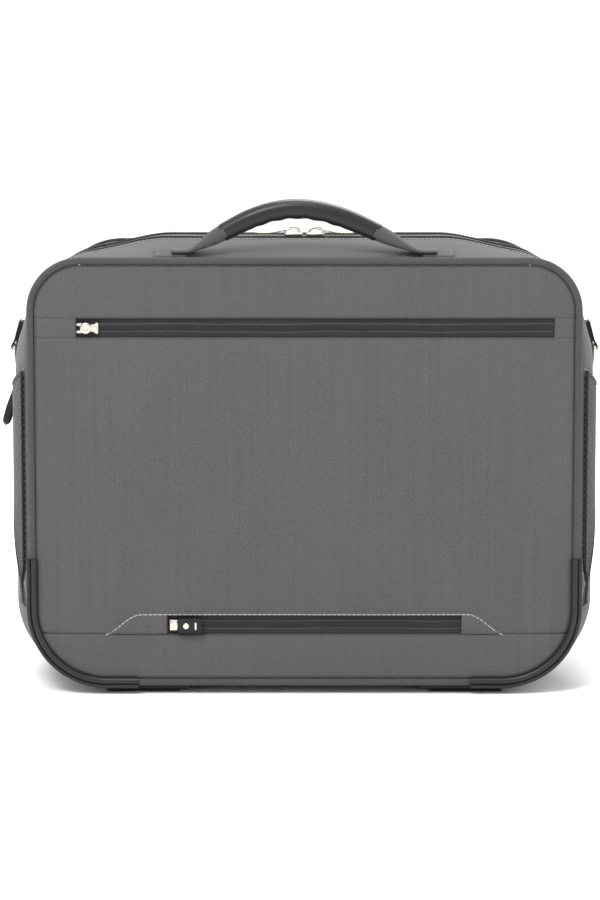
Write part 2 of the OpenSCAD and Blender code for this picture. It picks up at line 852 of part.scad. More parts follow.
module wheel_hub(side) {
    color("#3b3d3f") difference() {
        union() {
            x_rod(side * wheel_x - wheel_w / 2 + 1, side * wheel_x + wheel_w / 2 - 1, wheel_y, wheel_r, 22);
            x_rod(side * wheel_x - wheel_w / 2, side * wheel_x + wheel_w / 2, wheel_y, wheel_r, 9);
        }
        x_rod(side * wheel_x - wheel_w, side * wheel_x + wheel_w, wheel_y, wheel_r, axle_r + 0.05);
        for (e = [-1, 1]) translate([side * wheel_x + e * wheel_w / 2 - 3.5, wheel_y, wheel_r])
            rotate([0, 90, 0]) difference() {
                cylinder(r = 19, h = 7, $fn = 64);
                translate([0, 0, -1]) cylinder(r = 10, h = 9, $fn = 64);
            }
    }
}

module wheel_tyre(side) {
    color(black) translate([side * wheel_x, wheel_y, wheel_r]) rotate([0, 90, 0])
        rotate_extrude($fn = 96) difference() {
            translate([22, -wheel_w / 2]) square([wheel_r - 22, wheel_w]);
            for (e = [-1, 1]) translate([wheel_r, e * wheel_w / 2]) rotate(45) square(4, center = true);
        }
}

module left_wheel_hub() {
    wheel_hub(-1);
}

module left_wheel_tyre() {
    wheel_tyre(-1);
}

module right_wheel_hub() {
    wheel_hub(1);
}

module right_wheel_tyre() {
    wheel_tyre(1);
}

// ---- pull-out handle ----

tube_wall = 1.4;
stage_overlap = 14;
bezel_z0 = outline_z1 - 26;
bezel_z1 = outline_z1 + 6.5;
tube_z0 = bezel_z0 - stage_travel - stage_overlap;
middle_r = tube_r - tube_wall - 0.1;
inner_r = middle_r - tube_wall - 0.1;
rod_r = 2.5;
grip_z0 = bezel_z0 + 6;
grip_z1 = bezel_z1 - 0.7;
grip_reach = 88;

module tube_pair(r, z0, z1, bore) {
    for (s = [-1, 1]) translate([s * tube_x, bezel_y, z0]) difference() {
        cylinder(r = r, h = z1 - z0, $fn = 64);
        translate([0, 0, -1]) cylinder(r = bore, h = z1 - z0 + 2, $fn = 64);
    }
}

module outer_tubes() {
    color(nickel) tube_pair(tube_r, tube_z0, bezel_z0 - 0.1, tube_r - tube_wall);
}

module middle_tubes() {
    color(nickel) tube_pair(middle_r, tube_z0 + 4, grip_z0 - 1, middle_r - tube_wall);
}

module inner_tubes() {
    color(nickel) tube_pair(inner_r, tube_z0 + 8, grip_z0 + 4, inner_r - tube_wall);
}

// The bezel is a cup that the grip sinks into, with a collar for each tube
module handle_bezel() {
    d = bezel_depth / 2;
    color(black) difference() {
        block([-bezel_half, bezel_y - d, bezel_z0], [bezel_half, bezel_y + d, bezel_z1]);
        block([-bezel_half + 2, bezel_y - d + 2, grip_z0 - 0.6], [bezel_half - 2, bezel_y + d - 2, bezel_z1 + 1]);
        for (s = [-1, 1]) translate([s * tube_x, bezel_y, bezel_z0 - 1])
            cylinder(r = middle_r + 0.1, h = 20, $fn = 64);
    }
}

// The grip is hollow in the middle, where the button and its rods sit
module pull_grip() {
    r = 9.4;
    color(grip_rubber) difference() {
        block([-grip_reach, bezel_y - r, grip_z0], [grip_reach, bezel_y + r, grip_z1]);
        block([-tube_x - 4, bezel_y - 4.2, grip_z0 + 6], [tube_x + 4, bezel_y + 4.2, grip_z0 + 15]);
        block([-16.3, bezel_y - 5.3, grip_z0 + 9], [16.3, bezel_y + 5.3, grip_z1 + 1]);
        for (s = [-1, 1]) translate([s * tube_x, bezel_y, grip_z0 - 1]) {
            cylinder(r = inner_r, h = 5, $fn = 64);
            cylinder(r = rod_r + 0.3, h = 9, $fn = 64);
        }
    }
}

// The button presses down through the grip's top and carries a crossbar with two rods
module release_button() {
    color(black) {
        block([-16, bezel_y - 5, grip_z0 + 12.2], [16, bezel_y + 5, grip_z1 + 0.8]);
        block([-tube_x - 3, bezel_y - 3.6, grip_z0 + 10], [tube_x + 3, bezel_y + 3.6, grip_z0 + 14]);
        for (s = [-1, 1]) translate([s * tube_x, bezel_y, tube_z0 + 20])
            cylinder(r = rod_r, h = grip_z0 + 11 - tube_z0 - 20, $fn = 48);
    }
}

front_panel();
front_piping();
front_top_gusset();
front_left_gusset();
front_right_gusset();
left_mesh_panel();
right_mesh_panel();
pocket_lining();
front_board();
left_corner_guard();
right_corner_guard();
upper_zip_tape();
upper_zip_coil();
lower_zip_tape();
lower_zip_coil();
pocket_welt();
main_zip_front_tape();
handle_tabs();
handle_anchor_plate();
handle_strap();
handle_grip();
upper_zip_slider();
lower_zip_slider();
lower_zip_pull();
main_slider_left();
main_pull_left();
main_slider_right();
main_pull_right();
back_panel();
rear_piping();
rear_top_gusset();
rear_left_gusset();
rear_right_gusset();
base_panel();
base_board();
back_lining_board();
laptop_sleeve();
main_zip_rear_tape();
laptop_zip();
side_slider();
side_pull();
ring_loops();
left_d_ring();
right_d_ring();
front_feet();
foot_screws();
skid_rails();
left_wheel_housing();
right_wheel_housing();
wheel_axles();
left_wheel_hub();
left_wheel_tyre();
right_wheel_hub();
right_wheel_tyre();
outer_tubes();
handle_bezel();
middle_tubes();
inner_tubes();
pull_grip();
release_button();
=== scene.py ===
# %% [markdown]
# # A rolling laptop case
# The case is a padded fabric box. Its front half opens forward, a moulded grip is sewn on top, and
# wheels and a pull-out handle sit at the rear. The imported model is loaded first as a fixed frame,
# because every piece made below is placed and measured against it.

# %% Load the frame
import math

import bmesh
import bpy
import numpy as np
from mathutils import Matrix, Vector, noise


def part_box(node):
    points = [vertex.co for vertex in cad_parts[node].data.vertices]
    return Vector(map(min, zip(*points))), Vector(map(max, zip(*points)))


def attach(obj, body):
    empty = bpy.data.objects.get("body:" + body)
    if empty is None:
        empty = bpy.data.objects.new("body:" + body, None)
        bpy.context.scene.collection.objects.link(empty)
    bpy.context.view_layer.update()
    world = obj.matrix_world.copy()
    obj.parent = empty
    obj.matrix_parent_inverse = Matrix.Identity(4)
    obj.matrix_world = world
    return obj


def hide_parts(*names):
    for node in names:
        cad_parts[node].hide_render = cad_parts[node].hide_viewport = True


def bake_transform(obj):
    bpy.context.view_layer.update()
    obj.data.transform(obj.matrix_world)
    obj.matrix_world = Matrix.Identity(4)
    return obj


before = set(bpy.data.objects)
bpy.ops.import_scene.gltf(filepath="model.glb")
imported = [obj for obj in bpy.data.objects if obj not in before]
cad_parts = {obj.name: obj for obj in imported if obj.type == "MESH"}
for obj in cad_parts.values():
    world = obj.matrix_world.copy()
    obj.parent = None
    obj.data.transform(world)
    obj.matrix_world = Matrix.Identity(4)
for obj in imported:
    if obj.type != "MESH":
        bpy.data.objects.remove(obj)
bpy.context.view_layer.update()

MM = 0.001

# %% [markdown]
# ## Measures of the case
# The sewn outline is a rounded rectangle at the front and a slightly smaller one at the rear. The
# walls between them bulge as padded fabric does. One formula gives every point of that wall, so
# gussets, zips and seams made from it meet without gaps. All of these measures are in millimetres.

# %% Outline and wall
half_w, low_z0, high_z1 = 209.0, 9.5, 335.0
top_r, low_r = 38.4, 57.0
rear_half, rear_top_r = 200.0, 52.0
front_y, rear_y, split_y = -95.0, 95.0, -10.0
tape_w, zip_end_z = 10.0, 68.0
side_bulge, top_crown, base_sag = 20.0, 11.0, 4.5
low_z = low_z0 + low_r
high_z, rear_high_z = high_z1 - top_r, high_z1 - rear_top_r
seam_start, seam_end = front_y + 3.2, rear_y - 3.2


def smooth(t):
    c = min(1.0, max(0.0, t))
    return c * c * (3 - 2 * c)


def corner(side, degrees, high):
    """A point of a corner: front x and z, outward x and z, rear x and z."""
    a = math.radians(degrees)
    out = (math.cos(a), math.sin(a))
    r, rear_r = (top_r, rear_top_r) if high else (low_r, low_r)
    z, rear_z = (high_z, rear_high_z) if high else (low_z, low_z)
    return np.array([side * (half_w - r) + r * out[0], z + r * out[1], out[0], out[1],
                     side * (rear_half - rear_r) + rear_r * out[0], rear_z + rear_r * out[1]])


def side_point(side, u):
    return np.array([side * half_w, low_z + (high_z - low_z) * u, side, 0,
                     side * rear_half, low_z + (rear_high_z - low_z) * u])


def side_at(side, z):
    return side_point(side, (z - low_z) / (high_z - low_z))


def between(p, q, n):
    return [p + (q - p) * i / n for i in range(n + 1)]


def fullness(p, y):
    z, nx, nz = p[1:4]
    slump = 1 - 0.55 * smooth((y + 10) / 40) * smooth((120 - z) / 60)
    return side_bulge * nx * nx * slump * smooth((330 - z) / 75) + base_sag * max(0, -nz) ** 2


def crown(p):
    return top_crown * max(0, p[3]) ** 2 * smooth((185 - abs(p[0])) / 70)


def wall(p, y, extra=0.0):
    """A point of the fabric wall at a depth, moved out by the extra amount."""
    t = (y - front_y) / (rear_y - front_y)
    arc = max(0.0, 4 * t * (1 - t))
    s = 1 + fullness(p, y) * arc ** 0.75 + crown(p) * arc ** 1.1 + extra
    return np.array([p[0] + (p[4] - p[0]) * t + s * p[2], y, p[1] + (p[5] - p[1]) * t + s * p[3]])


def split_at(z):
    """Where the zip runs on the sides: it curves forward at its lower end."""
    low = front_y + 18
    return low + (split_y - low) * smooth((z - zip_end_z) / 90)


end_u = (zip_end_z - low_z) / (high_z - low_z)
right_low = [corner(1, -90 + 3 * i, False) for i in range(31)]
left_low = [corner(-1, 180 + 3 * i, False) for i in range(31)]
right_high = [corner(1, 3 * i, True) for i in range(31)]
left_high = [corner(-1, 90 + 3 * i, True) for i in range(31)]
right_straight = between(side_point(1, end_u), side_point(1, 1), 64)
left_straight = between(side_point(-1, 1), side_point(-1, end_u), 64)
top_edge = between(right_high[-1], left_high[0], 90)
bottom_edge = between(left_low[-1], right_low[0], 80)
right_side = right_straight + right_high[1:]
left_side = left_high + left_straight[1:]
ring = (right_low + right_straight + right_high[1:] + top_edge[1:] + left_high[1:] + left_straight[1:]
        + left_low + bottom_edge[1:-1])
print("outline:", len(ring), "points,", 2 * half_w, "mm wide")

# %% [markdown]
# ## Building blocks
# Nearly everything here is one of four forms: a sheet with thickness, a profile swept along a path,
# a small rounded solid, or a row of stitches. Each is written once as a function that adds points
# and faces to a collector. The collector also keeps a cloth map in metres, so a weave has the same
# thread size on every piece.

# %% A collector for points and faces
class Shape:
    """Points in millimetres and faces, turned into one Blender object at the end."""

    def __init__(self):
        self.points, self.faces, self.maps, self.finishes = [], [], [], []

    def add(self, points, faces, maps=None):
        start = len(self.points)
        self.points.extend(tuple(p) for p in points)
        self.faces.extend(tuple(start + i for i in f) for f in faces)
        self.maps.extend(maps if maps is not None else [(p[0] + p[1], p[2] + p[1]) for p in points])
        self.finishes.extend([0] * len(faces))

    def make(self, name, materials, body, slot, replaces=(), sharp=40):
        mesh = bpy.data.meshes.new(name)
        mesh.from_pydata([tuple(c * MM for c in p) for p in self.points], [], self.faces)
        layer = mesh.uv_layers.new(name="cloth")
        corners = np.empty(len(mesh.loops), int)
        mesh.loops.foreach_get("vertex_index", corners)
        flat = np.array(self.maps, float)[corners] * MM
        layer.data.foreach_set("uv", flat.ravel())
        mesh.polygons.foreach_set("material_index", self.finishes)
        mesh.polygons.foreach_set("use_smooth", [True] * len(self.faces))
        mesh.validate()
        mesh.update()
        tidy = bmesh.new()
        tidy.from_mesh(mesh)
        bmesh.ops.recalc_face_normals(tidy, faces=tidy.faces)
        tidy.to_mesh(mesh)
        tidy.free()
        mesh.set_sharp_from_angle(angle=math.radians(sharp))
        for material in materials:
            mesh.materials.append(material)
        piece = bpy.data.objects.new(name, mesh)
        bpy.context.collection.objects.link(piece)
        if body:
            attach(piece, body)
        if replaces:
            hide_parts(*replaces)
        return piece


def lengths(points):
    """Distance along a row of points."""
    steps = np.linalg.norm(np.diff(np.asarray(points, float), axis=0), axis=1)
    return np.concatenate([[0.0], np.cumsum(steps)])


def resample(points, step):
    """Evenly spaced points along a path."""
    points = np.asarray(points, float)
    along = lengths(points)
    count = max(2, int(round(along[-1] / step)) + 1)
    wanted = np.linspace(0, along[-1], count)
    return np.stack([np.interp(wanted, along, points[:, k]) for k in range(points.shape[1])], axis=1)


# %% A sheet with thickness
def shell(shape, outer, inner, maps, keep=None, inside=0):
    """Closes two grids of points into a solid, leaving out the cells that keep says no to."""
    m, n = outer.shape[:2]
    half = m * n
    quads = [(i * n + j, (i + 1) * n + j, (i + 1) * n + j + 1, i * n + j + 1)
             for i in range(m - 1) for j in range(n - 1) if keep is None or keep(i, j)]
    directed = {(q[k], q[(k + 1) % 4]) for q in quads for k in range(4)}
    rim = [(b, a, a + half, b + half) for a, b in directed if (b, a) not in directed]
    back = [tuple(half + k for k in reversed(q)) for q in quads]
    used = sorted({k for q in quads for k in q})
    place = {k: i for i, k in enumerate(used)}
    place.update({k + half: i + len(used) for i, k in enumerate(used)})
    points = np.concatenate([outer.reshape(-1, 3)[used], inner.reshape(-1, 3)[used]])
    flat = maps.reshape(-1, 2)[used]
    shape.add(points, [tuple(place[k] for k in f) for f in quads + sorted(rim) + back],
              [tuple(p) for p in np.concatenate([flat, flat])])
    for k in range(len(shape.finishes) - len(back), len(shape.finishes)):
        shape.finishes[k] = inside


def wall_shell(shape, outline, y0, y1, thickness, extra=0.0, rows=20, puff=0.0, inside=0, seed=0.0):
    """A strip of the wall. Its edges draw in to the seams and its middle is a little uneven."""
    along = lengths([p[:2] for p in outline])
    outer, inner, maps = [], [], []
    for k, p in enumerate(outline):
        a, b = (f(p) if callable(f) else f for f in (y0, y1))
        line, back, flat = [], [], []
        for j in range(rows + 1):
            t = j / rows
            y = a + (b - a) * t
            rim = min(t, 1 - t) * abs(b - a)
            end = min(along[k], along[-1] - along[k])
            lift = puff * (smooth(rim / 5) * smooth(end / 4 + 0.15) - 1)
            rough = puff * 0.8 * noise.noise(Vector((along[k] / 55, y / 38, seed)))
            line.append(wall(p, y, extra + lift + rough * smooth(rim / 8) * smooth(end / 10)))
            back.append(wall(p, y, extra - thickness))
            flat.append((along[k], y))
        outer.append(line)
        inner.append(back)
        maps.append(flat)
    shell(shape, np.array(outer), np.array(inner), np.array(maps), inside=inside)


# %% A profile swept along a path
def swept(shape, centres, side, up, profile, closed=False):
    """Skins a closed profile of (side, up) points, or a list with one for each centre."""
    centres, side, up = (np.asarray(v, float) for v in (centres, side, up))
    count = len(centres)
    profiles = profile if isinstance(profile[0][0], tuple) else [profile] * count
    k = len(profiles[0])
    along = lengths(centres)
    points, maps = [], []
    for i in range(count):
        around = 0.0
        for j, (a, b) in enumerate(profiles[i]):
            points.append(centres[i] + side[i] * a + up[i] * b)
            if j:
                around += math.hypot(a - profiles[i][j - 1][0], b - profiles[i][j - 1][1])
            maps.append((along[i], around))
    faces = []
    for i in range(count if closed else count - 1):
        n = (i + 1) % count
        faces += [(i * k + j, n * k + j, n * k + (j + 1) % k, i * k + (j + 1) % k) for j in range(k)]
    if not closed:
        faces += [tuple(range(k)), tuple(range((count - 1) * k, count * k))[::-1]]
    shape.add(points, faces, maps)


def circle(radius, sides=12, squash=1.0):
    return [(radius * math.cos(math.tau * k / sides), squash * radius * math.sin(math.tau * k / sides))
            for k in range(sides)]


def frames(path, normal):
    """Side and up directions along a path, with up close to a given direction."""
    path = np.asarray(path, float)
    tangent = np.gradient(path, axis=0)
    tangent /= np.linalg.norm(tangent, axis=1)[:, None]
    normal = np.broadcast_to(np.asarray(normal, float), path.shape)
    side = np.cross(tangent, normal)
    side /= np.linalg.norm(side, axis=1)[:, None]
    return side, np.cross(side, tangent)


def cord(shape, path, normal, radius, sides=10, squash=1.0):
    side, up = frames(path, normal)
    swept(shape, path, side, up, circle(radius, sides, squash))


# %% Small rounded solids
def capsule(shape, a, b, radius, sides=6, flat=1.0, up=(0, -1, 0)):
    """A rod with rounded ends from a to b."""
    a, b = np.asarray(a, float), np.asarray(b, float)
    along = (b - a) / max(1e-9, np.linalg.norm(b - a))
    up = np.asarray(up, float)
    side = np.cross(along, up)
    side /= np.linalg.norm(side)
    up = np.cross(side, along)
    stations = [(a - along * radius * 0.75, 0.45), (a, 1.0), (b, 1.0), (b + along * radius * 0.75, 0.45)]
    points = [c + side * s * radius * math.cos(math.tau * k / sides)
              + up * s * flat * radius * math.sin(math.tau * k / sides)
              for c, s in stations for k in range(sides)]
    faces = [(i * sides + k, (i + 1) * sides + k, (i + 1) * sides + (k + 1) % sides,
              i * sides + (k + 1) % sides) for i in range(3) for k in range(sides)]
    faces += [tuple(range(sides))[::-1], tuple(range(3 * sides, 4 * sides))]
    shape.add(points, faces)


def plate(shape, outline, origin, across, upward, thick, bevel=0.3):
    """A flat plate with rounded edges, from an outline of (across, upward) points."""
    across, upward, origin = (np.asarray(v, float) for v in (across, upward, origin))
    through = np.cross(across, upward)
    pts = np.array(outline, float)
    edge = np.roll(pts, -1, axis=0) - np.roll(pts, 1, axis=0)
    inward = np.stack([-edge[:, 1], edge[:, 0]], axis=1)
    inward /= np.linalg.norm(inward, axis=1)[:, None]
    turn = np.sum(pts[:, 0] * np.roll(pts[:, 1], -1) - np.roll(pts[:, 0], -1) * pts[:, 1])
    if turn < 0:
        inward = -inward
    count = len(pts)
    levels = [(0.0, bevel), (bevel, bevel * 0.3), (bevel * 1.6, 0.0), (thick - bevel * 1.6, 0.0),
              (thick - bevel, bevel * 0.3), (thick, bevel)]
    points = [origin + across * q[0] + upward * q[1] + through * h
              for h, inset in levels for q in pts + inward * inset]
    faces = [(i * count + k, i * count + (k + 1) % count, (i + 1) * count + (k + 1) % count,
              (i + 1) * count + k) for i in range(len(levels) - 1) for k in range(count)]
    last = (len(levels) - 1) * count
    faces += [tuple(range(count))[::-1], tuple(range(last, last + count))]
    shape.add(points, faces)


def rounded(half_x, half_z, radius, steps=5, centre=(0.0, 0.0)):
    """The outline of a rectangle with round corners."""
    pts = []
    for q, (sx, sz) in enumerate([(1, 1), (-1, 1), (-1, -1), (1, -1)]):
        for k in range(steps + 1):
            a = math.radians(90 * q + 90 * k / steps)
            pts.append((centre[0] + sx * (half_x - radius) + radius * math.cos(a),
                        centre[1] + sz * (half_z - radius) + radius * math.sin(a)))
    return pts


# %% Rows of stitches
def stitches(shape, path, normal, pitch=3.8, length=2.7, radius=0.3):
    """Threads that lie on a surface and dip into it at each needle hole."""
    points = resample(path, pitch)
    normals = np.broadcast_to(np.asarray(normal, float), (len(path), 3))
    along = lengths(path)
    wanted = np.linspace(0, along[-1], len(points))
    up = np.stack([np.interp(wanted, along, normals[:, k]) for k in range(3)], axis=1)
    for i in range(len(points) - 1):
        d = points[i + 1] - points[i]
        reach = d * (0.5 * length / max(1e-6, np.linalg.norm(d)))
        middle = (points[i] + points[i + 1]) / 2 + up[i] * radius * 0.3
        capsule(shape, middle - reach, middle + reach, radius, 6, 0.8, up[i])


# %% [markdown]
# ## Finishes
# Cloth is coloured and embossed from its own threads: a fine basket weave, loose fibre, long faint
# streaks from the dyeing, and slow changes of tone. The weave reads the cloth map, so it follows the
# sheet round every corner. Hard pieces use a grain that is fixed in the piece instead. Values that
# are the same all over a surface are set on the shader itself.

# %% A helper for node materials
def tone(r, g, b):
    """A colour written in 0 to 255 steps, as the linear numbers that the shader wants."""
    shares = [c / 255 for c in (r, g, b)]
    return (*[c / 12.92 if c <= 0.04045 else ((c + 0.055) / 1.055) ** 2.4 for c in shares], 1.0)


class Finish:
    """A material in the making."""

    def __init__(self, name, **sockets):
        self.material = bpy.data.materials.new(name)
        self.material.use_nodes = True
        self.tree = self.material.node_tree
        self.shader = self.tree.nodes["Principled BSDF"]
        for socket, value in sockets.items():
            self.shader.inputs[socket.replace("_", " ")].default_value = value

    def node(self, kind, inputs=None, **settings):
        made = self.tree.nodes.new("ShaderNode" + kind)
        for key, value in settings.items():
            setattr(made, key, value)
        for key, value in (inputs or {}).items():
            if isinstance(value, bpy.types.NodeSocket):
                self.tree.links.new(value, made.inputs[key])
            else:
                made.inputs[key].default_value = value
        return made

    def math(self, operation, *values):
        return self.node("Math", dict(enumerate(values)), operation=operation).outputs[0]

    def cloth(self, *scale, turn=0.0):
        """The cloth map, scaled to so many repeats a metre."""
        read = self.node("UVMap", uv_map="cloth").outputs[0]
        scale = scale if len(scale) == 2 else scale * 2
        sockets = {"Vector": read, "Scale": (*scale, 1.0), "Rotation": (0, 0, turn)}
        return self.node("Mapping", sockets).outputs[0]

    def solid(self, *scale):
        """A place inside the piece, scaled the same way."""
        read = self.node("TexCoord").outputs["Object"]
        scale = scale if len(scale) == 3 else scale * 3
        return self.node("Mapping", {"Vector": read, "Scale": scale}).outputs[0]

    def noise(self, where, detail=2.0, roughness=0.5, scale=1.0):
        return self.node("TexNoise", {"Vector": where, "Scale": scale, "Detail": detail,
                                      "Roughness": roughness}).outputs[0]

    def ramp(self, value, low, high, dark, light):
        """Mixes two colours by a value between low and high."""
        share = self.node("MapRange", {0: value, 1: low, 2: high, 3: 0.0, 4: 1.0}).outputs[0]
        return self.node("Mix", {0: share, 6: dark, 7: light}, data_type="RGBA").outputs[2]

    def tint(self, colour, value, low, high, least, most):
        """Brightens or darkens a colour by a value between low and high."""
        share = self.node("MapRange", {0: value, 1: low, 2: high, 3: least, 4: most}).outputs[0]
        return self.node("VectorMath", {0: colour, 1: share}, operation="MULTIPLY").outputs[0]

    def close(self, colour=None, height=None, distance=0.0001, strength=0.6, rough=None):
        if colour is not None:
            self.tree.links.new(colour, self.shader.inputs["Base Color"])
        if height is not None:
            bump = self.node("Bump", {"Height": height, "Distance": distance, "Strength": strength})
            self.tree.links.new(bump.outputs[0], self.shader.inputs["Normal"])
        if rough is not None:
            value, low, high = rough
            spread = self.node("MapRange", {0: value, 1: 0.0, 2: 1.0, 3: low, 4: high}).outputs[0]
            self.tree.links.new(spread, self.shader.inputs["Roughness"])
        return self.material


# %% Woven fabrics
def woven(name, dark, light, pitch=1.35, turn=0.0, sheen=0.12, streak=0.05, contrast=1.0):
    """Basket weave: two crossed sets of threads, each passing over and under."""
    f = Finish(name, Roughness=0.86, Sheen_Weight=sheen, Sheen_Roughness=0.5, Specular_IOR_Level=0.28)
    repeats = math.tau / (pitch * MM)
    wobble = f.noise(f.cloth(260.0), 1.0)
    axes = f.node("SeparateXYZ", {0: f.cloth(repeats, turn=turn)}).outputs
    push = f.math("MULTIPLY", wobble, 0.9)
    u = f.math("ADD", f.math("ADD", axes[0], f.math("MULTIPLY", axes[1], 0.5)), push)
    weave = f.math("MULTIPLY", f.math("SINE", u), f.math("SINE", axes[1]))
    fibre = f.noise(f.cloth(1500.0, 900.0, turn=turn), 3.0, 0.65)
    tuft = f.noise(f.cloth(520.0, 380.0, turn=turn), 2.0, 0.6)
    height = f.math("ADD", f.math("MULTIPLY", weave, 0.45), f.math("MULTIPLY", fibre, 0.8))
    grain = f.math("MULTIPLY", weave, 0.5 * contrast)
    grain = f.math("ADD", grain, f.math("MULTIPLY", fibre, 0.7))
    grain = f.math("ADD", grain, f.math("MULTIPLY", tuft, 0.6))
    colour = f.ramp(grain, -0.5, 1.75, dark, light)
    colour = f.tint(colour, f.noise(f.cloth(330.0, 7.0), 2.0), 0.3, 0.7, 1 - streak, 1 + streak)
    colour = f.tint(colour, f.noise(f.cloth(9.0), 2.0), 0.3, 0.7, 0.965, 1.035)
    return f.close(colour, height, 0.00022, 0.55, (fibre, 0.78, 0.95))


fabric = woven("grey basket-weave fabric", tone(30, 29, 29.5), tone(94, 92, 93), 1.45, contrast=2.4)
bias_fabric = woven("grey fabric cut on the bias", tone(28, 27.5, 28), tone(80, 79, 79), 1.2, turn=0.8,
                    contrast=1.8)
dark_bias = woven("black piping fabric", tone(14, 14, 15), tone(36, 36, 37), 1.2, turn=0.8)
lining = woven("plain dark lining", tone(50, 51, 54), tone(78, 79, 83), 0.7, sheen=0.3, streak=0.03)
binding = woven("black binding tape", tone(14, 14, 14), tone(36, 36, 36), 0.9, streak=0.02)
print("fabrics made:", len(bpy.data.materials))


# %% Ribbed tapes
def ribbed(name, dark, light, rib, across, sheen=0.1, high=0.00025):
    """Ribs run along the tape; across is the number of crossing threads a metre."""
    f = Finish(name, Roughness=0.8, Sheen_Weight=sheen, Specular_IOR_Level=0.3)
    axes = f.node("SeparateXYZ", {0: f.cloth(1000.0)}).outputs
    rows = f.math("SINE", f.math("MULTIPLY", axes[1], math.tau / rib))
    picks = f.math("SINE", f.math("ADD", f.math("MULTIPLY", axes[0], across), f.math("MULTIPLY", rows, 1.4)))
    fibre = f.noise(f.cloth(1300.0), 3.0, 0.6)
    height = f.math("ADD", f.math("MULTIPLY", rows, 0.5), f.math("MULTIPLY", picks, 0.35))
    grain = f.math("ADD", height, f.math("MULTIPLY", fibre, 1.2))
    colour = f.ramp(grain, -0.4, 1.5, dark, light)
    colour = f.tint(colour, f.noise(f.cloth(25.0), 2.0), 0.3, 0.7, 0.94, 1.06)
    return f.close(colour, height, high, 0.7, (fibre, 0.7, 0.9))


webbing = ribbed("grey ribbed webbing", tone(26, 25, 26), tone(84, 83, 83), 1.7, 3.4)
black_webbing = ribbed("black ribbed webbing", tone(12, 12, 13), tone(34, 34, 35), 1.6, 3.4)
tape_finish = ribbed("black zip tape", tone(18, 18, 18), tone(46, 46, 46), 1.1, 5.2, high=0.00012)


# %% Diamond mesh
def spacer_mesh(name, hole, cord_tone, pitch=5.5):
    """An open diamond net over foam: the cords are lighter than the hollows."""
    f = Finish(name, Roughness=0.9, Sheen_Weight=0.15, Specular_IOR_Level=0.25)
    axes = f.node("SeparateXYZ", {0: f.cloth(1000.0 / pitch)}).outputs
    one = f.math("PINGPONG", f.math("ADD", axes[0], axes[1]), 0.5)
    two = f.math("PINGPONG", f.math("SUBTRACT", axes[0], axes[1]), 0.5)
    open_part = f.math("MINIMUM", one, two)
    knit = f.noise(f.cloth(1400.0), 3.0, 0.7)
    grain = f.math("ADD", open_part, f.math("MULTIPLY", knit, 0.22))
    colour = f.ramp(grain, 0.1, 0.42, cord_tone, hole)
    colour = f.tint(colour, knit, 0.3, 0.7, 0.8, 1.2)
    height = f.math("ADD", f.math("MULTIPLY", open_part, -1.6), f.math("MULTIPLY", knit, 0.5))
    return f.close(colour, height, 0.0004, 0.6, (knit, 0.8, 0.95))


mesh_fabric = spacer_mesh("dark diamond mesh", tone(18, 17, 16), tone(78, 75, 72))


# %% Moulded rubber and plastic
def moulded(name, colour, rough, grain=2600.0, depth=0.00004, mottle=0.12):
    """A fine spark texture, a slow change of tone, and a little rub and dust."""
    f = Finish(name, Roughness=rough, Specular_IOR_Level=0.3)
    fine = f.noise(f.solid(grain), 2.0, 0.6)
    cells = f.node("TexVoronoi", {"Vector": f.solid(grain * 0.45), "Scale": 1.0}).outputs[0]
    rub = f.noise(f.solid(60.0), 4.0, 0.65)
    light = tuple(min(1.0, c * (1 + 2.2 * mottle)) for c in colour[:3]) + (1.0,)
    dark = tuple(c * (1 - mottle) for c in colour[:3]) + (1.0,)
    base = f.ramp(rub, 0.3, 0.75, dark, light)
    base = f.tint(base, fine, 0.3, 0.7, 0.9, 1.1)
    height = f.math("ADD", f.math("MULTIPLY", cells, 0.6), f.math("MULTIPLY", fine, 0.6))
    return f.close(base, height, depth, 0.5, (rub, rough - 0.07, rough + 0.1))


guard_rubber = moulded("semi-gloss guard rubber", tone(26, 27, 26), 0.34, depth=0.00003)
grip_rubber = moulded("soft-touch grip rubber", tone(22, 24, 25), 0.38, 1900.0, 0.00006)
pull_rubber = moulded("soft puller rubber", tone(18, 18, 19), 0.45)
plastic = moulded("black moulded plastic", tone(22, 22, 23), 0.45, 1500.0, 0.00007)
hub_plastic = moulded("dark grey hub plastic", tone(44, 45, 47), 0.42, 1500.0, 0.00005)
button_plastic = moulded("grey button plastic", tone(92, 93, 95), 0.4)
tread = moulded("wheel tread", tone(22, 22, 23), 0.62, 900.0, 0.0001, mottle=0.3)
coil_nylon = moulded("black nylon coil", tone(42, 42, 43), 0.34, 3000.0, 0.00002)


# %% Metal
def metal(name, colour, rough, stretch=(900.0, 900.0, 60.0)):
    """Satin plate: fine brushing that is drawn out in one direction, and a few dull patches."""
    f = Finish(name, Metallic=1.0, Roughness=rough)
    brush = f.noise(f.solid(*stretch), 3.0, 0.6)
    patch = f.noise(f.solid(140.0), 3.0, 0.6)
    base = f.ramp(patch, 0.25, 0.75, tuple(c * 0.82 for c in colour[:3]) + (1.0,), colour)
    base = f.tint(base, brush, 0.3, 0.7, 0.95, 1.05)
    return f.close(base, brush, 0.00002, 0.35, (brush, rough - 0.05, rough + 0.1))


nickel = metal("satin nickel", tone(214, 208, 198), 0.27, (500.0, 500.0, 500.0))
steel = metal("zinc plated steel", tone(186, 187, 190), 0.34, (700.0, 90.0, 700.0))
aluminium = metal("anodised tube", tone(158, 159, 162), 0.36)


def thread_finish(name, colour):
    f = Finish(name, Roughness=0.7, Sheen_Weight=0.2)
    twist = f.noise(f.solid(2400.0), 2.0)
    shade = tuple(c * 0.75 for c in colour[:3]) + (1.0,)
    base = f.ramp(twist, 0.3, 0.7, shade, colour)
    base = f.tint(base, f.noise(f.solid(80.0)), 0.3, 0.7, 0.9, 1.1)
    return f.close(base, twist, 0.00005, 0.4)


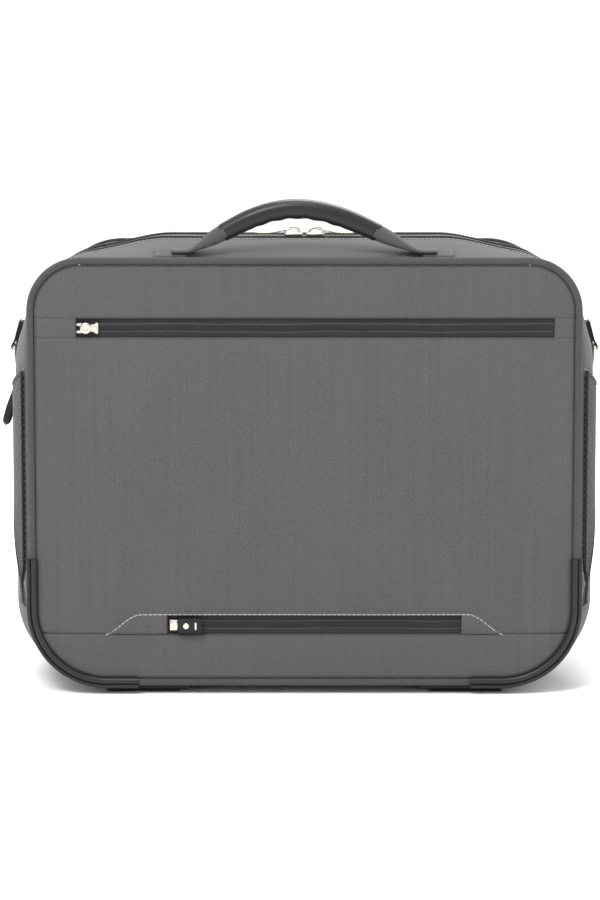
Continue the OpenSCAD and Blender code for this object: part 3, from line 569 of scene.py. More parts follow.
light_thread = thread_finish("light grey thread", tone(176, 173, 168))
grey_thread = thread_finish("mid grey thread", tone(96, 95, 94))
dark_thread = thread_finish("black thread", tone(44, 44, 44))
print("finishes made:", len(bpy.data.materials))

# %% [markdown]
# ## Front panel
# The front panel is fabric over thin foam, sewn into the piping all round, so it is highest away
# from the seams and dips where it is stitched. A grid is the plain way to make it: its rows follow
# the corner arcs and its columns stay straight, so the weave does too. Cells inside the two zip
# windows are left out, and the cloth rolls inwards at their edges.

# %% A padded panel with windows
upper_z, lower_z, window_h = 284.0, 54.5, 15.0
upper_window, lower_window = (-174.0, 190.5), (-105.5, 121.0)
windows = [(upper_window, upper_z), (lower_window, lower_z)]
seam_z = 47.6
panel_edge_y = -95.5


def depth_inside(x, z, half, z0, z1, r_top, r_low):
    """How far a point is inside the panel's rounded outline."""
    middle = (z0 + z1) / 2
    r = r_top if z > middle else r_low
    qx = abs(x) - (half - r)
    qz = z - (z1 - r) if z > middle else (z0 + r) - z
    return r - math.hypot(max(qx, 0), max(qz, 0)) - min(max(qx, qz), 0)


def spaced(low, high, step, marks=()):
    """Values from low to high with extra ones at the marks, and none too close to a mark."""
    count = max(1, int(round((high - low) / step)))
    plain = [low + (high - low) * i / count for i in range(count + 1)]
    marks = [m for m in marks if low <= m <= high]
    clear = {v for v in plain if all(abs(v - m) > 0.3 * step for m in marks)}
    return sorted(set(marks) | clear | {low, high})


def panel_grid(half, z0, z1, r_top, r_low, step, row_marks=(), column_marks=(), straight=125.0):
    """The x and z of each grid point of a rounded panel."""
    arc = [1 - math.cos(math.radians(3 * k)) for k in range(31)]
    rows = [z0 + r_low * a for a in arc] + spaced(z0 + r_low, z1 - r_top, step, row_marks)[1:-1]
    rows += [z1 - r_top * a for a in reversed(arc)]
    rows = sorted(set(round(r, 4) for r in rows) | set(row_marks))
    rows = [r for i, r in enumerate(rows) if r in row_marks or all(abs(r - m) > 0.25 for m in row_marks)]
    edge = [0.0, 0.35, 0.8, 1.4, 2.2, 3.4]
    columns = spaced(-half + 5, half - 5, step, column_marks)
    columns = [-half + e for e in edge] + columns + [half - e for e in reversed(edge)]
    grid = np.zeros((len(rows), len(columns), 2))
    for i, z in enumerate(rows):
        if z > z1 - r_top:
            w = half - r_top + math.sqrt(max(0.0, r_top ** 2 - (z - z1 + r_top) ** 2))
        elif z < z0 + r_low:
            w = half - r_low + math.sqrt(max(0.0, r_low ** 2 - (z0 + r_low - z) ** 2))
        else:
            w = half
        for j, x in enumerate(columns):
            if abs(x) > straight:
                x = math.copysign(straight + (abs(x) - straight) * (w - straight) / (half - straight), x)
            grid[i, j] = (x, z)
    return grid


panel_size = (half_w - 3.2, low_z0 + 3.2, high_z1 - 3.2, top_r - 3.2, low_r - 3.2)


def groove(distance, depth, width):
    return depth * math.exp(-(distance / width) ** 2)


def panel_y(x, z):
    """The face of the front panel at a place, in front of which is smaller y."""
    d = max(0.0, depth_inside(x, z, *panel_size))
    y = panel_edge_y - 1.1 * smooth(d / 2.4) - 1.7 * (1 - math.exp(-d / 11)) - 1.3 * smooth(d / 110)
    y -= 0.75 * noise.noise(Vector((x / 95, z / 70, 4.2))) * smooth(d / 30)
    y -= 0.22 * noise.noise(Vector((x / 26, z / 20, 9.1))) * smooth(d / 12)
    for (x0, x1), zc in windows:
        out = math.hypot(max(x0 - x, x - x1, 0), max(abs(z - zc) - window_h / 2, 0))
        y += 0.9 * math.exp(-out / 7) + 0.55 * math.exp(-out / 0.7)
        beyond = max(x0 - x, x - x1)
        if beyond > 0 and zc == upper_z:
            for edge in (-1, 1):
                gap = z - zc - edge * window_h / 2
                y += groove(gap, 0.75, 0.75) - 0.2 * groove(gap, 1, 4)
    gap = z - seam_z
    y += groove(gap, 1.35, 0.75) + 0.5 * groove(gap, 1, 5)
    return y


edges = [z + e * window_h / 2 for z in (upper_z, lower_z) for e in (-1, 1)]
beside = [m + o for m in edges for o in (-1.4, -0.7, 0.7, 1.4)] + [seam_z + o for o in (-1.8, 1.5)]
row_marks = sorted(round(m, 3) for m in set(edges + beside))
column_marks = sorted(x for (x0, x1), _ in windows for x in (x0 - 0.7, x0, x1, x1 + 0.7))
grid = panel_grid(*panel_size, 3.0, row_marks, column_marks)
outer = np.array([[(x, panel_y(x, z), z) for x, z in row] for row in grid])
inner = np.array([[(x, -94.2, z) for x, z in row] for row in grid])


def outside_windows(i, j):
    x, z = (grid[i, j] + grid[i + 1, j + 1]) / 2
    return not any(x0 < x < x1 and abs(z - zc) < window_h / 2 for (x0, x1), zc in windows)


panel = Shape()
shell(panel, outer, inner, grid, outside_windows)
front_panel = panel.make("front_panel_cover", [fabric], "front_half", "case_fabric", ["front_panel"])

# %% Dark seam stitches
forward = (0, -1, 0)
stitch_in = 4.1
seam_pitch, seam_stitch = 2.7, 1.7


def on_panel(x, z):
    return (x, panel_y(x, z) - 0.1, z)


sewn = Shape()
edge_line = [on_panel(p[0] - p[2] * stitch_in, p[1] - p[3] * stitch_in) for p in ring]
stitches(sewn, edge_line + edge_line[:1], forward, seam_pitch, seam_stitch, 0.28)
for x0, x1 in ((-204, -156), (156, 204)):
    line = [on_panel(x, seam_z) for x in np.linspace(x0, x1, 30)]
    stitches(sewn, line, forward, seam_pitch, seam_stitch, 0.28)
for (x0, x1), zc in windows:
    for edge in (-1, 1):
        if zc == upper_z or edge < 0:
            z = zc + edge * (window_h / 2 + 0.8)
            line = [on_panel(x, z) for x in np.linspace(x0, x1, 120)]
            stitches(sewn, line, forward, seam_pitch, seam_stitch, 0.22)
sewn.make("front_seam_stitches", [dark_thread], "front_half", "case_fabric")
print("front panel:", len(panel.faces), "faces")

# %% [markdown]
# ## Welt over the lower zip
# A folded flap of the same fabric frames the lower zip. It rises from the seam in two soft slopes
# and is held down by one line of light topstitching, so it is a thin raised layer that follows the
# panel below it. The stitches are separate little threads, because their shadow is what shows.

# %% Welt
welt_x, welt_rise, welt_slope = 156.0, 16.2, 29


def welt_top(x):
    return seam_z + 0.8 + welt_rise * smooth((welt_x - abs(x)) / welt_slope)


welt_marks = [lower_window[0], lower_window[1], lower_window[0] - 0.7, lower_window[1] + 0.7]
columns = spaced(-welt_x, welt_x, 2.4, welt_marks)
hole_share = (lower_z + window_h / 2 - seam_z) / (welt_top(0) - seam_z)
shares = [0, 0.03, 0.1, 0.2, 0.35, 0.5, 0.65, 0.76, hole_share, hole_share + 0.03, 0.9, 0.94, 0.97, 0.99, 1.0]
welt_grid = np.array([[(x, seam_z + (welt_top(x) - seam_z) * s) for x in columns] for s in shares])


def welt_y(x, z):
    top = max(0.0, welt_top(x) - z)
    slope = 1 + (welt_rise * 1.5 / welt_slope) ** 2 * (1 if abs(x) > welt_x - welt_slope else 0)
    d = min(top / math.sqrt(slope), (welt_x - abs(x)) * 0.5)
    lift = 1.15 * smooth(d / 1.1 + 0.1) + 0.35 * smooth((d - 2.2) / 3) - 0.35 * groove(d - 1.9, 1, 0.5)
    hole = max(lower_window[0] - x, x - lower_window[1], z - lower_z - window_h / 2)
    lift *= 0.55 + 0.45 * smooth(max(0.0, hole) / 1.0)
    return panel_y(x, z) - lift


outer = np.array([[(x, welt_y(x, z), z) for x, z in row] for row in welt_grid])
inner = np.array([[(x, panel_y(x, z) + 0.4, z) for x, z in row] for row in welt_grid])


def outside_slot(i, j):
    x, z = (welt_grid[i, j] + welt_grid[i + 1, j + 1]) / 2
    return not (lower_window[0] < x < lower_window[1] and z < lower_z + window_h / 2)


flap = Shape()
shell(flap, outer, inner, welt_grid, outside_slot)
welt = flap.make("pocket_welt_flap", [fabric], "front_half", "case_fabric", ["pocket_welt"])
welt_stitch_in, slope_foot_x = 1.7, 130
path = []
for x in np.linspace(-welt_x + 3, welt_x - 3, 240):
    z = welt_top(x) - welt_stitch_in * (1.25 if abs(x) > slope_foot_x else 1.0)
    path.append((x, welt_y(x, z) - 0.05, z))
sewn = Shape()
stitches(sewn, path, forward)
sewn.make("welt_topstitching", [light_thread], "front_half", "case_fabric")
print("welt:", len(flap.faces), "faces;", len(sewn.faces) // 20, "stitches")

# %% [markdown]
# ## Pocket zips
# Each pocket zip is a woven tape behind its window, with a nylon coil down the middle and a row of
# machine stitches on each side of it. The coil is one continuous bent wire on the real zip. Here it
# is two rows of short slanted rods that meet in the middle, which is all that shows when it is shut.

# %% Tapes and coils
tape_front, coil_front = -94.7, -95.8


def pocket_zip(name, span, z):
    """A tape and its closed coil."""
    x0, x1 = span[0] - 3, span[1] + 3
    xs = np.linspace(x0, x1, int((x1 - x0) / 3))
    zs = [-window_h / 2 - 2, -6.5, -4.6, -3.4, -2.2, 0, 2.2, 3.4, 4.6, 6.5, window_h / 2 + 2]
    rise = [0, 0, 0, 0.12, 0.5, 0.55, 0.5, 0.12, 0, 0, 0]

    def sway(x):
        return 0.28 * math.sin(x / 23) + 0.15 * math.sin(x / 9.1)

    plane = np.array([[(x, z + dz + sway(x) * (abs(dz) < 6)) for x in xs] for dz in zs])
    face = np.array([[(x, tape_front - rise[i] - 0.12 * math.sin(x / 31 + i), zz) for x, zz in row]
                     for i, row in enumerate(plane)])
    tape = Shape()
    shell(tape, face, face + np.array([0, 0.7, 0]), plane)
    made = tape.make(name + "_tape_woven", [tape_finish], "front_half", "zip_tape", [name + "_tape"])
    coil = Shape()
    pitch = 1.5
    for k in range(int((span[1] - span[0] - 4) / pitch)):
        x = span[0] + 2 + pitch * k
        c = z + sway(x)
        capsule(coil, (x, coil_front + 0.25, c - 2.0), (x + 0.55, coil_front - 0.1, c + 0.25), 0.42, 5)
        capsule(coil, (x + 0.75, coil_front + 0.25, c + 2.0), (x + 0.2, coil_front - 0.1, c - 0.25), 0.42, 5)
    coil.make(name + "_coil_wire", [coil_nylon], "front_half", "zip_coil", [name + "_coil"])
    rows = Shape()
    for edge in (-1, 1):
        line = [(x, tape_front - 0.35, z + sway(x) + edge * 2.95)
                for x in np.linspace(span[0] + 1, span[1] - 1, 200)]
        stitches(rows, line, forward, 1.5, 0.8, 0.2)
    rows.make(name + "_coil_stitches", [grey_thread], "front_half", "zip_tape")


pocket_zip("upper_zip", upper_window, upper_z)
pocket_zip("lower_zip", lower_window, lower_z)
print("pocket zips:", upper_window, lower_window)

# %% [markdown]
# ## Piping and corner guards
# The piping is a cord wrapped in fabric that is cut at a slant, sewn into the seam. A circle swept
# round the outline makes it. Each lower corner is covered by a rubber guard: a rounded bead towards
# the panel, a groove, and a flatter flange outside. That profile is drawn once and swept as well.

# %% Piping
piping = Shape()
path = [(p[0], front_y, p[1]) for p in ring]
out = [(p[2], 0, p[3]) for p in ring]
back = [(0, 1, 0)] * len(ring)
swept(piping, path, out, back, circle(2.75, 14), closed=True)
piping.make("front_piping_cord", [bias_fabric], "front_half", "piping_fabric", ["front_piping"])

# %% Rear piping, from housing to housing
housing_z = 78.0
foot_u = (housing_z + 0.5 - low_z) / (rear_high_z - low_z)
rear_path = ([side_point(1, u) for u in np.linspace(foot_u, 1, 50)]
             + right_high[1:] + top_edge[1:] + left_high[1:]
             + [side_point(-1, u) for u in np.linspace(1, foot_u, 50)][1:])
piping = Shape()
swept(piping, [(p[4], rear_y, p[5]) for p in rear_path], [(p[2], 0, p[3]) for p in rear_path],
      [(0, 1, 0)] * len(rear_path), circle(3.0, 14))
piping.make("rear_piping_cord", [dark_bias], "case", "dark_piping", ["rear_piping"])

# %% Corner guards
guard_profile = [(4.3, 0.5), (4.5, -2.9), (4.1, -3.6), (3.3, -3.9), (2.2, -3.9), (1.75, -3.55),
                 (1.45, -3.1), (1.1, -3.5), (0.7, -4.4), (0.0, -5.2), (-0.9, -5.65), (-1.9, -5.7),
                 (-2.8, -5.3), (-3.5, -4.5), (-3.9, -3.4), (-3.9, -2.2), (-2.6, -1.0)]
guard_x, guard_top = 128.0, 106.0
for side, name in ((-1, "left"), (1, "right")):
    flat_end = np.array([side * guard_x, low_z0, 0, -1, side * guard_x, low_z0])
    arc = left_low if side < 0 else right_low[::-1]
    path = between(side_at(side, guard_top), arc[0], 14) + list(arc[1:-1]) + between(arc[-1], flat_end, 8)
    guard = Shape()
    swept(guard, [(p[0], front_y, p[1]) for p in path], [(p[2], 0, p[3]) for p in path],
          [(0, 1, 0)] * len(path), guard_profile)
    guard.make(name + "_guard_moulding", [guard_rubber], "front_half", "guard_rubber",
               [name + "_corner_guard"], sharp=50)
print("guards and piping made")

# %% [markdown]
# ## Padded walls
# The walls are long strips of foam-backed fabric. On the front half they run over the top and down
# both sides, as far as the zip. On the rear half they reach from the zip to the rear piping, and
# round the lower corners as far as the wheel housings. Every strip comes from the same wall formula,
# with a slack unevenness and edges that draw in to the seams.

# %% Front gussets
wall_thick = 4.0


def split_of(p):
    """The depth at which the main zip crosses a point of the outline."""
    return split_at(p[1]) if abs(p[3]) < 0.999 else split_y


def front_far(p):
    return split_of(p) - tape_w


walls = [("front_top", top_edge, "front_top_gusset", 1.7),
         ("front_left", left_side, "front_left_gusset", 5.3),
         ("front_right", right_side, "front_right_gusset", 8.9)]
for name, outline, node, seed in walls:
    strip = Shape()
    wall_shell(strip, outline, seam_start, front_far, wall_thick, rows=24, puff=0.9, inside=1, seed=seed)
    made = strip.make(name + "_wall", [fabric, lining], "front_half", "case_fabric", [node])

# %% Rear gussets and base
housing_front = 33.6


def rear_start(p):
    return seam_start if p[1] < zip_end_z - 0.1 else split_of(p) + tape_w


def rear_far(p):
    return housing_front if p[1] < housing_z and abs(p[0]) > half_w - low_r - 1 else seam_end


for name, outline, node, seed in (("rear_left", left_side + left_low, "rear_left_gusset", 2.2),
                                  ("rear_right", right_low + right_side, "rear_right_gusset", 6.6)):
    strip = Shape()
    wall_shell(strip, outline, rear_start, rear_far, wall_thick, rows=36, puff=0.9, inside=1, seed=seed)
    made = strip.make(name + "_wall", [fabric, lining], "case", "case_fabric", [node])
strip = Shape()
wall_shell(strip, bottom_edge, seam_start, seam_end, wall_thick, rows=44, puff=0.8, inside=1, seed=3.1)
made = strip.make("base_wall", [fabric, lining], "case", "case_fabric", ["base_panel"])

# %% Rear top, with its slot for the handle bezel
corner_x = half_w - top_r
slot_gap, top_step = 0.4, 3.6
bezel_low, bezel_high = (np.array(v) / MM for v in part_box("handle_bezel"))
slot_x = [bezel_low[0] - slot_gap, bezel_high[0] + slot_gap]
slot_y = [bezel_low[1] - slot_gap, bezel_high[1] + slot_gap]
xs = sorted({round(x, 3) for x in spaced(-corner_x, corner_x, top_step, slot_x)}, reverse=True)
ys = spaced(split_y + tape_w, seam_end, top_step, slot_y)


def top_point(x):
    """The point of the top outline at a distance from the middle."""
    return top_edge[0] + (top_edge[-1] - top_edge[0]) * ((corner_x - x) / (2 * corner_x))


outer, inner, flat = [], [], []
for x in xs:
    p = top_point(x)
    row, below, sheet_map = [], [], []
    for y in ys:
        rim = min(y - ys[0], ys[-1] - y)
        beside_slot = max(slot_x[0] - p[4], p[4] - bezel_high[0] - slot_gap, 0)
        hole = math.hypot(beside_slot, max(bezel_low[1] - y, y - bezel_high[1], 0))
        lift = 0.9 * (smooth(rim / 5) - 1) - 0.5 * math.exp(-hole / 3)
        rough = 0.7 * noise.noise(Vector((x / 55, y / 38, 7.7))) * smooth(rim / 8)
        row.append(wall(p, y, lift + rough))
        below.append(wall(p, y, -wall_thick))
        sheet_map.append((x, y))
    outer.append(row)
    inner.append(below)
    flat.append(sheet_map)
outer, inner, flat = np.array(outer), np.array(inner), np.array(flat)


def outside_bezel(i, j):
    x, y = (outer[i, j, :2] + outer[i + 1, j + 1, :2]) / 2
    return not (bezel_low[0] - 1 < x < bezel_high[0] + 1
                and bezel_low[1] - 0.5 < y < bezel_high[1] + 0.5)


strip = Shape()
shell(strip, outer, inner, flat, outside_bezel, inside=1)
made = strip.make("rear_top_wall", [fabric, lining], "case", "case_fabric", ["rear_top_gusset"])
print("walls made")

# %% [markdown]
# ## Mesh side panels
# A patch of open diamond net covers the middle of each front side wall, bound at its edges with
# black tape and topstitched above and below. The net's cords are real ridges on a fine grid, because
# they show against the light at the edge of the case.

# %% Mesh panels
mesh_low, mesh_high, mesh_dip, mesh_pitch = 98.0, 249.0, 12.0, 5.5
net_rows, net_columns = 150, 70
for side, name in ((-1, "left"), (1, "right")):
    outer, inner, flat = [], [], []
    for i in range(net_rows + 1):
        line, under, row = [], [], []
        for j in range(net_columns + 1):
            dip = mesh_dip * math.sin(math.pi / 2 * j / net_columns)
            z = mesh_low + (mesh_high - mesh_low) * i / net_rows - dip
            p = side_at(side, z)
            y = front_y + 7 + (split_at(z) - tape_w - 2 - front_y - 7) * j / net_columns
            u, v = y / mesh_pitch, z / mesh_pitch
            cords = [abs((u + s * v) % 1 - 0.5) for s in (-1, 1)]
            ridge = max(smooth((c - 0.33) / 0.17) for c in cords)
            rim = min(i, net_rows - i, 2 * j, 2 * (net_columns - j))
            line.append(wall(p, y, 2.2 + 0.75 * ridge * smooth(rim / 4)))
            under.append(wall(p, y, 0.1))
            row.append((y, z))
        outer.append(line)
        inner.append(under)
        flat.append(row)
    outer, inner, flat = (np.array(v) for v in (outer, inner, flat))
    net = Shape()
    shell(net, outer, inner, flat)
    made = net.make(name + "_mesh_net", [mesh_fabric], "front_half", "mesh_fabric",
                    [name + "_mesh_panel"])
    bound = Shape()
    for line in (outer[0], outer[-1], outer[:, 0], outer[:, -1]):
        cord(bound, resample(line, 4), (side, 0, 0), 1.9, 8, 0.55)
    bound.make(name + "_mesh_binding", [binding], "front_half", "black_webbing")
    sewn = Shape()
    for z in (mesh_low - 3.2, mesh_high + 3.2):
        line = []
        for j in range(40):
            zz = z - mesh_dip * math.sin(math.pi / 2 * j / 39)
            y = front_y + 6 + (split_at(zz) - tape_w - 2 - front_y - 6) * j / 39
            line.append(wall(side_at(side, zz), y, 0.25))
        stitches(sewn, line, (side, 0, 0), 3.4, 2.4, 0.32)
    sewn.make(name + "_mesh_topstitching", [light_thread], "front_half", "mesh_fabric")
print("mesh panels made")

# %% [markdown]
# ## Main zip
# The main zip runs up one side, over the top and down the other, between the two halves. Each half
# carries one tape and its own row of teeth, so the case can open. The laptop compartment has a second,
# narrower zip on the rear wall that stays shut here.

# %% Main zip tapes and teeth
zip_line = right_side + top_edge[1:] + left_side[1:]
for sign, name, body in ((-1, "front", "front_half"), (1, "rear", "case")):
    tape = Shape()
    outer, inner, flat = [], [], []
    along = lengths([p[:2] for p in zip_line])
    widths = [0.35, 1.5, 3.0, 4.2, 7.0, 10.0]
    raised = [0.1, 0.1, 0.1, -0.5, -0.7, -0.8]
    for k, p in enumerate(zip_line):
        ys = [split_of(p) + sign * w for w in widths]
        outer.append([wall(p, y, e) for y, e in zip(ys, raised)])
        inner.append([wall(p, y, -1.8) for y in ys])
        flat.append([(along[k], w) for w in widths])
    shell(tape, np.array(outer), np.array(inner), np.array(flat))
    made = tape.make(f"main_zip_{name}_woven", [tape_finish], body, "zip_tape",
                     [f"main_zip_{name}_tape"])
    teeth = Shape()
    for p in resample(zip_line, 2.3)[:-1]:
        y = split_of(p)
        low, high = wall(p, y + sign * 3.0, 0.5), wall(p, y + sign * 0.45, 0.9)
        capsule(teeth, low, high, 0.62, 5, up=(p[2], 0, p[3]))
    teeth.make(f"main_zip_{name}_teeth", [coil_nylon], body, "zip_coil")
    sewn = Shape()
    line = [wall(p, split_of(p) + sign * (tape_w + 2.6), 0.1) for p in zip_line]
    stitches(sewn, line, [(p[2], 0, p[3]) for p in zip_line], 3.4, 2.4, 0.3)
    sewn.make(f"main_zip_{name}_topstitching", [light_thread], body, "case_fabric")

# %% Laptop compartment zip
laptop_y = 30.0
laptop_line = [p for p in zip_line if p[1] > 90]
second = Shape()
wall_shell(second, laptop_line, laptop_y - 6, laptop_y + 6, 1.0, 1.1, rows=6)
made = second.make("laptop_zip_woven", [tape_finish], "case", "zip_tape", ["laptop_zip"])
teeth = Shape()
for p in resample(laptop_line, 1.7)[:-1]:
    capsule(teeth, wall(p, laptop_y - 1.7, 1.5), wall(p, laptop_y + 1.7, 1.5), 0.5, 5, up=(p[2], 0, p[3]))
teeth.make("laptop_zip_teeth", [coil_nylon], "case", "zip_coil")
print("main zips made")

# %% [markdown]
# ## Back, base board and linings
# The back panel is made as the front one is, but plainer, with its lower corners cut away for the
# wheel housings. The stiff boards inside are wrapped in lining and lightly quilted, since they are
# what shows when the front half hangs open.

# %% Back panel and boards
quilt_pitch = 46.0
housing_in = half_w - 9 - low_r + 3.4
cut_x, cut_z = housing_in - 1.2, housing_z + 0.6
back_size = (rear_half - 3.8, low_z0 + 3.8, high_z1 - 3.8, rear_top_r - 3.8, low_r - 3.8)


def inset(size, by):
    """The same outline, moved in all round."""
    half, z0, z1, r_top, r_low = size
    return (half - by, z0 + by, z1 - by, r_top - by, r_low - by)


def padding(x, z, size, rise, quilt, seed):
    """How far a padded face stands out: less at its edges and along the quilting."""
    d = max(0.0, depth_inside(x, z, *size))
    y = rise * (0.35 * smooth(d / 2.2) + 0.65 * (1 - math.exp(-d / 12)))
    y += rise * 0.25 * noise.noise(Vector((x / 90, z / 70, seed))) * smooth(d / 30)
    if quilt:
        lines = [abs(((x + s * z) / quilt_pitch) % 1 - 0.5) for s in (-1, 1)]
        y -= quilt * max(math.exp(-((0.5 - c) / 0.05) ** 2) for c in lines) * smooth(d / 8)
    return y


def board(name, node, body, finish, size, face, rear, rise, quilt=0.0, cut=False, toward=1):
    """A rounded board or panel: face is the y that shows, rear the y behind it."""
    grid = panel_grid(*size, 5.0, [cut_z] if cut else [], [-cut_x, cut_x] if cut else [])

    def clear_of_housings(i, j):
        x, z = (grid[i, j] + grid[i + 1, j + 1]) / 2
        return not (cut and abs(x) > cut_x and z < cut_z)

    outer = np.array([[(x, face + toward * padding(x, z, size, rise, quilt, len(name)), z)
                       for x, z in row] for row in grid])
    inner = np.array([[(x, rear, z) for x, z in row] for row in grid])
    made = Shape()
    shell(made, outer, inner, grid, clear_of_housings)
    slot_name = "case_fabric" if finish is fabric else "lining_fabric"
    piece = made.make(name, [finish], body, slot_name, [node])


board("back_panel_cover", "back_panel", "case", fabric, back_size, rear_y + 0.6, rear_y - 1, 2.4,
      cut=True)
board("back_lining_cover", "back_lining_board", "case", lining, inset(back_size, 0.6), 59.4, 62, 0.9,
      quilt=0.7, cut=True, toward=-1)
board("front_lining_cover", "front_board", "front_half", lining, inset(panel_size, 6), -83.4, -86, 0.9,
      quilt=0.8)
board("pocket_lining_cover", "pocket_lining", "front_half", lining, inset(panel_size, 2), -92.6, -86.3,
      0.3, toward=-1)

# %% Laptop sleeve and base board
sleeve_low, sleeve_high = (np.array(v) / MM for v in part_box("laptop_sleeve"))
sleeve_wall, sleeve_floor, soft_edge = 6.0, 3, 1.6
sleeve_deep = sleeve_high[1] - sleeve_low[1] - sleeve_wall
sleeve_middle = (sleeve_high[1] + sleeve_low[1] + sleeve_wall) / 2
sleeve_tall = sleeve_high[2] - sleeve_low[2]
xs = np.linspace(sleeve_low[0], sleeve_high[0], 80)
zs = np.linspace(sleeve_low[2], sleeve_high[2], 46)


def sleeve_face(x, z):
    out = soft_edge * smooth(min(x - xs[0], xs[-1] - x) / 9) * smooth(min(z - zs[0], zs[-1] - z) / 9)
    return sleeve_low[1] + soft_edge - out + 0.5 * noise.noise(Vector((x / 60, z / 50, 1)))


def upright(shape, half_x, half_y, radius, steps, centre, floor_z, tall, bevel):
    """A standing block with round corners."""
    outline = rounded(half_x, half_y, radius, steps, centre)
    plate(shape, outline, (0, 0, floor_z), (1, 0, 0), (0, 1, 0), tall, bevel)


outer = np.array([[(x, sleeve_face(x, z), z) for x in xs] for z in zs])
inner = np.array([[(x, sleeve_low[1] + sleeve_wall, z) for x in xs] for z in zs])
sleeve = Shape()
shell(sleeve, outer, inner, np.array([[(x, z) for x in xs] for z in zs]))
for x0, x1 in ((sleeve_low[0], sleeve_low[0] + sleeve_wall),
               (sleeve_high[0] - sleeve_wall, sleeve_high[0])):
    upright(sleeve, (x1 - x0) / 2, sleeve_deep / 2, 1.5, 3, ((x0 + x1) / 2, sleeve_middle),
            sleeve_low[2], sleeve_tall, 0.6)
upright(sleeve, (sleeve_high[0] - sleeve_low[0]) / 2, sleeve_deep / 2, 1.5, 3, (0, sleeve_middle),
        sleeve_low[2], sleeve_floor, 0.4)
made = sleeve.make("laptop_sleeve_padded", [lining], "case", "lining_fabric", ["laptop_sleeve"])
edge = Shape()
line = [(x, sleeve_low[1] + 3, sleeve_high[2] + 0.3)
        for x in np.linspace(sleeve_low[0], sleeve_high[0], 60)]
cord(edge, line, (0, 0, 1), 3.6, 10, 0.5)
edge.make("laptop_sleeve_binding", [binding], "case", "black_webbing")
board_low, board_high = (np.array(v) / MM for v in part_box("base_board"))
base = Shape()
upright(base, (board_high[0] - board_low[0]) / 2, (board_high[1] - board_low[1]) / 2, 9, 6,
        (0, (board_high[1] + board_low[1]) / 2), board_low[2], board_high[2] - board_low[2], 0.9)
made = base.make("base_board_cover", [lining], "case", "lining_fabric", ["base_board"])
print("boards and linings made")

# %% [markdown]
# ## Small metal and plastic fittings
# Sliders, pulls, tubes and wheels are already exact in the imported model. What a render needs from
# them is the small radius that every cast or moulded edge has, and a clean surface. So each one is
# rebuilt from its own shape: the flat regions are joined, the sharp edges get a bevel, and the copy
# takes its place.

# %% A fitting with rounded edges
def fitting(node, name, finish, body, bevel):
    """A cleaned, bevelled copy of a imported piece."""
    source = bpy.data.objects[node]
    mesh = source.data.copy()
    mesh.name = name
    mesh.transform(source.matrix_world)
    work = bmesh.new()
    work.from_mesh(mesh)
    bmesh.ops.remove_doubles(work, verts=work.verts, dist=2e-6)
    bmesh.ops.dissolve_limit(work, angle_limit=math.radians(1.5), verts=work.verts, edges=work.edges)
    bmesh.ops.recalc_face_normals(work, faces=work.faces)
    work.to_mesh(mesh)
    work.free()
    while mesh.uv_layers:
        mesh.uv_layers.remove(mesh.uv_layers[0])
    mesh.materials.clear()
    mesh.materials.append(finish)
    piece = bpy.data.objects.new(name, mesh)
    bpy.context.collection.objects.link(piece)
    edge = piece.modifiers.new("rounded edges", "BEVEL")
    edge.width = bevel * MM
    edge.segments = 2
    edge.limit_method = "ANGLE"
    edge.angle_limit = math.radians(32)
    edge.use_clamp_overlap = True
    edge.miter_outer = "MITER_ARC"
    evaluated = piece.evaluated_get(bpy.context.evaluated_depsgraph_get())
    shaped = bpy.data.meshes.new_from_object(evaluated)
    piece.modifiers.clear()
    piece.data = shaped
    shaped.name = name
    shaped.polygons.foreach_set("use_smooth", [True] * len(shaped.polygons))
    shaped.set_sharp_from_angle(angle=math.radians(38))
    layer = shaped.uv_layers.new(name="cloth")
    corners = np.empty(len(shaped.loops), int)
    shaped.loops.foreach_get("vertex_index", corners)
    where = np.empty(len(shaped.vertices) * 3)
    shaped.vertices.foreach_get("co", where)
    where = where.reshape(-1, 3)
    flat = np.stack([where[:, 0] + where[:, 1], where[:, 2] + where[:, 1]], axis=1)
    layer.data.foreach_set("uv", flat[corners].ravel())
    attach(piece, body)
    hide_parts(node)


hard_parts = [
    ("lower_zip_slider", "lower_slider_body", nickel, "lower_slider", "satin_nickel", 0.5),
    ("side_slider", "side_slider_body", nickel, "side_zip_slider", "satin_nickel", 0.4),
    ("foot_screws", "foot_screw_heads", steel, "case", "screw_steel", 0.25),
    ("front_feet", "front_feet_moulding", plastic, "case", "black_plastic", 0.9),
    ("skid_rails", "skid_rail_mouldings", plastic, "case", "black_plastic", 1.1),
    ("left_wheel_housing", "left_housing_moulding", plastic, "case", "black_plastic", 1.0),
    ("right_wheel_housing", "right_housing_moulding", plastic, "case", "black_plastic", 1.0),
    ("wheel_axles", "wheel_axle_pins", steel, "case", "screw_steel", 0.3),
    ("left_wheel_hub", "left_hub", hub_plastic, "left_wheel", "wheel_plastic", 0.6),
    ("right_wheel_hub", "right_hub", hub_plastic, "right_wheel", "wheel_plastic", 0.6),
    ("left_wheel_tyre", "left_tyre", tread, "left_wheel", "tyre", 1.6),
    ("right_wheel_tyre", "right_tyre", tread, "right_wheel", "tyre", 1.6),
    ("handle_bezel", "handle_bezel_moulding", plastic, "case", "black_plastic", 0.9),
    ("outer_tubes", "outer_tube_pair", aluminium, "case", "tube_aluminium", 0.3),
    ("middle_tubes", "middle_tube_pair", aluminium, "middle_stage", "tube_aluminium", 0.3),
    ("inner_tubes", "inner_tube_pair", aluminium, "inner_stage", "tube_aluminium", 0.3),
    ("pull_grip", "pull_grip_moulding", grip_rubber, "inner_stage", "grip_plastic", 2.2),
    ("release_button", "release_button_cap", button_plastic, "button", "button_plastic", 0.6),
    ("handle_anchor_plate", "handle_anchor_moulding", plastic, "front_half", "black_plastic", 0.4),
]
for node, name, finish, body, slot_name, bevel in hard_parts:
    fitting(node, name, finish, body, bevel)
print("fittings made")

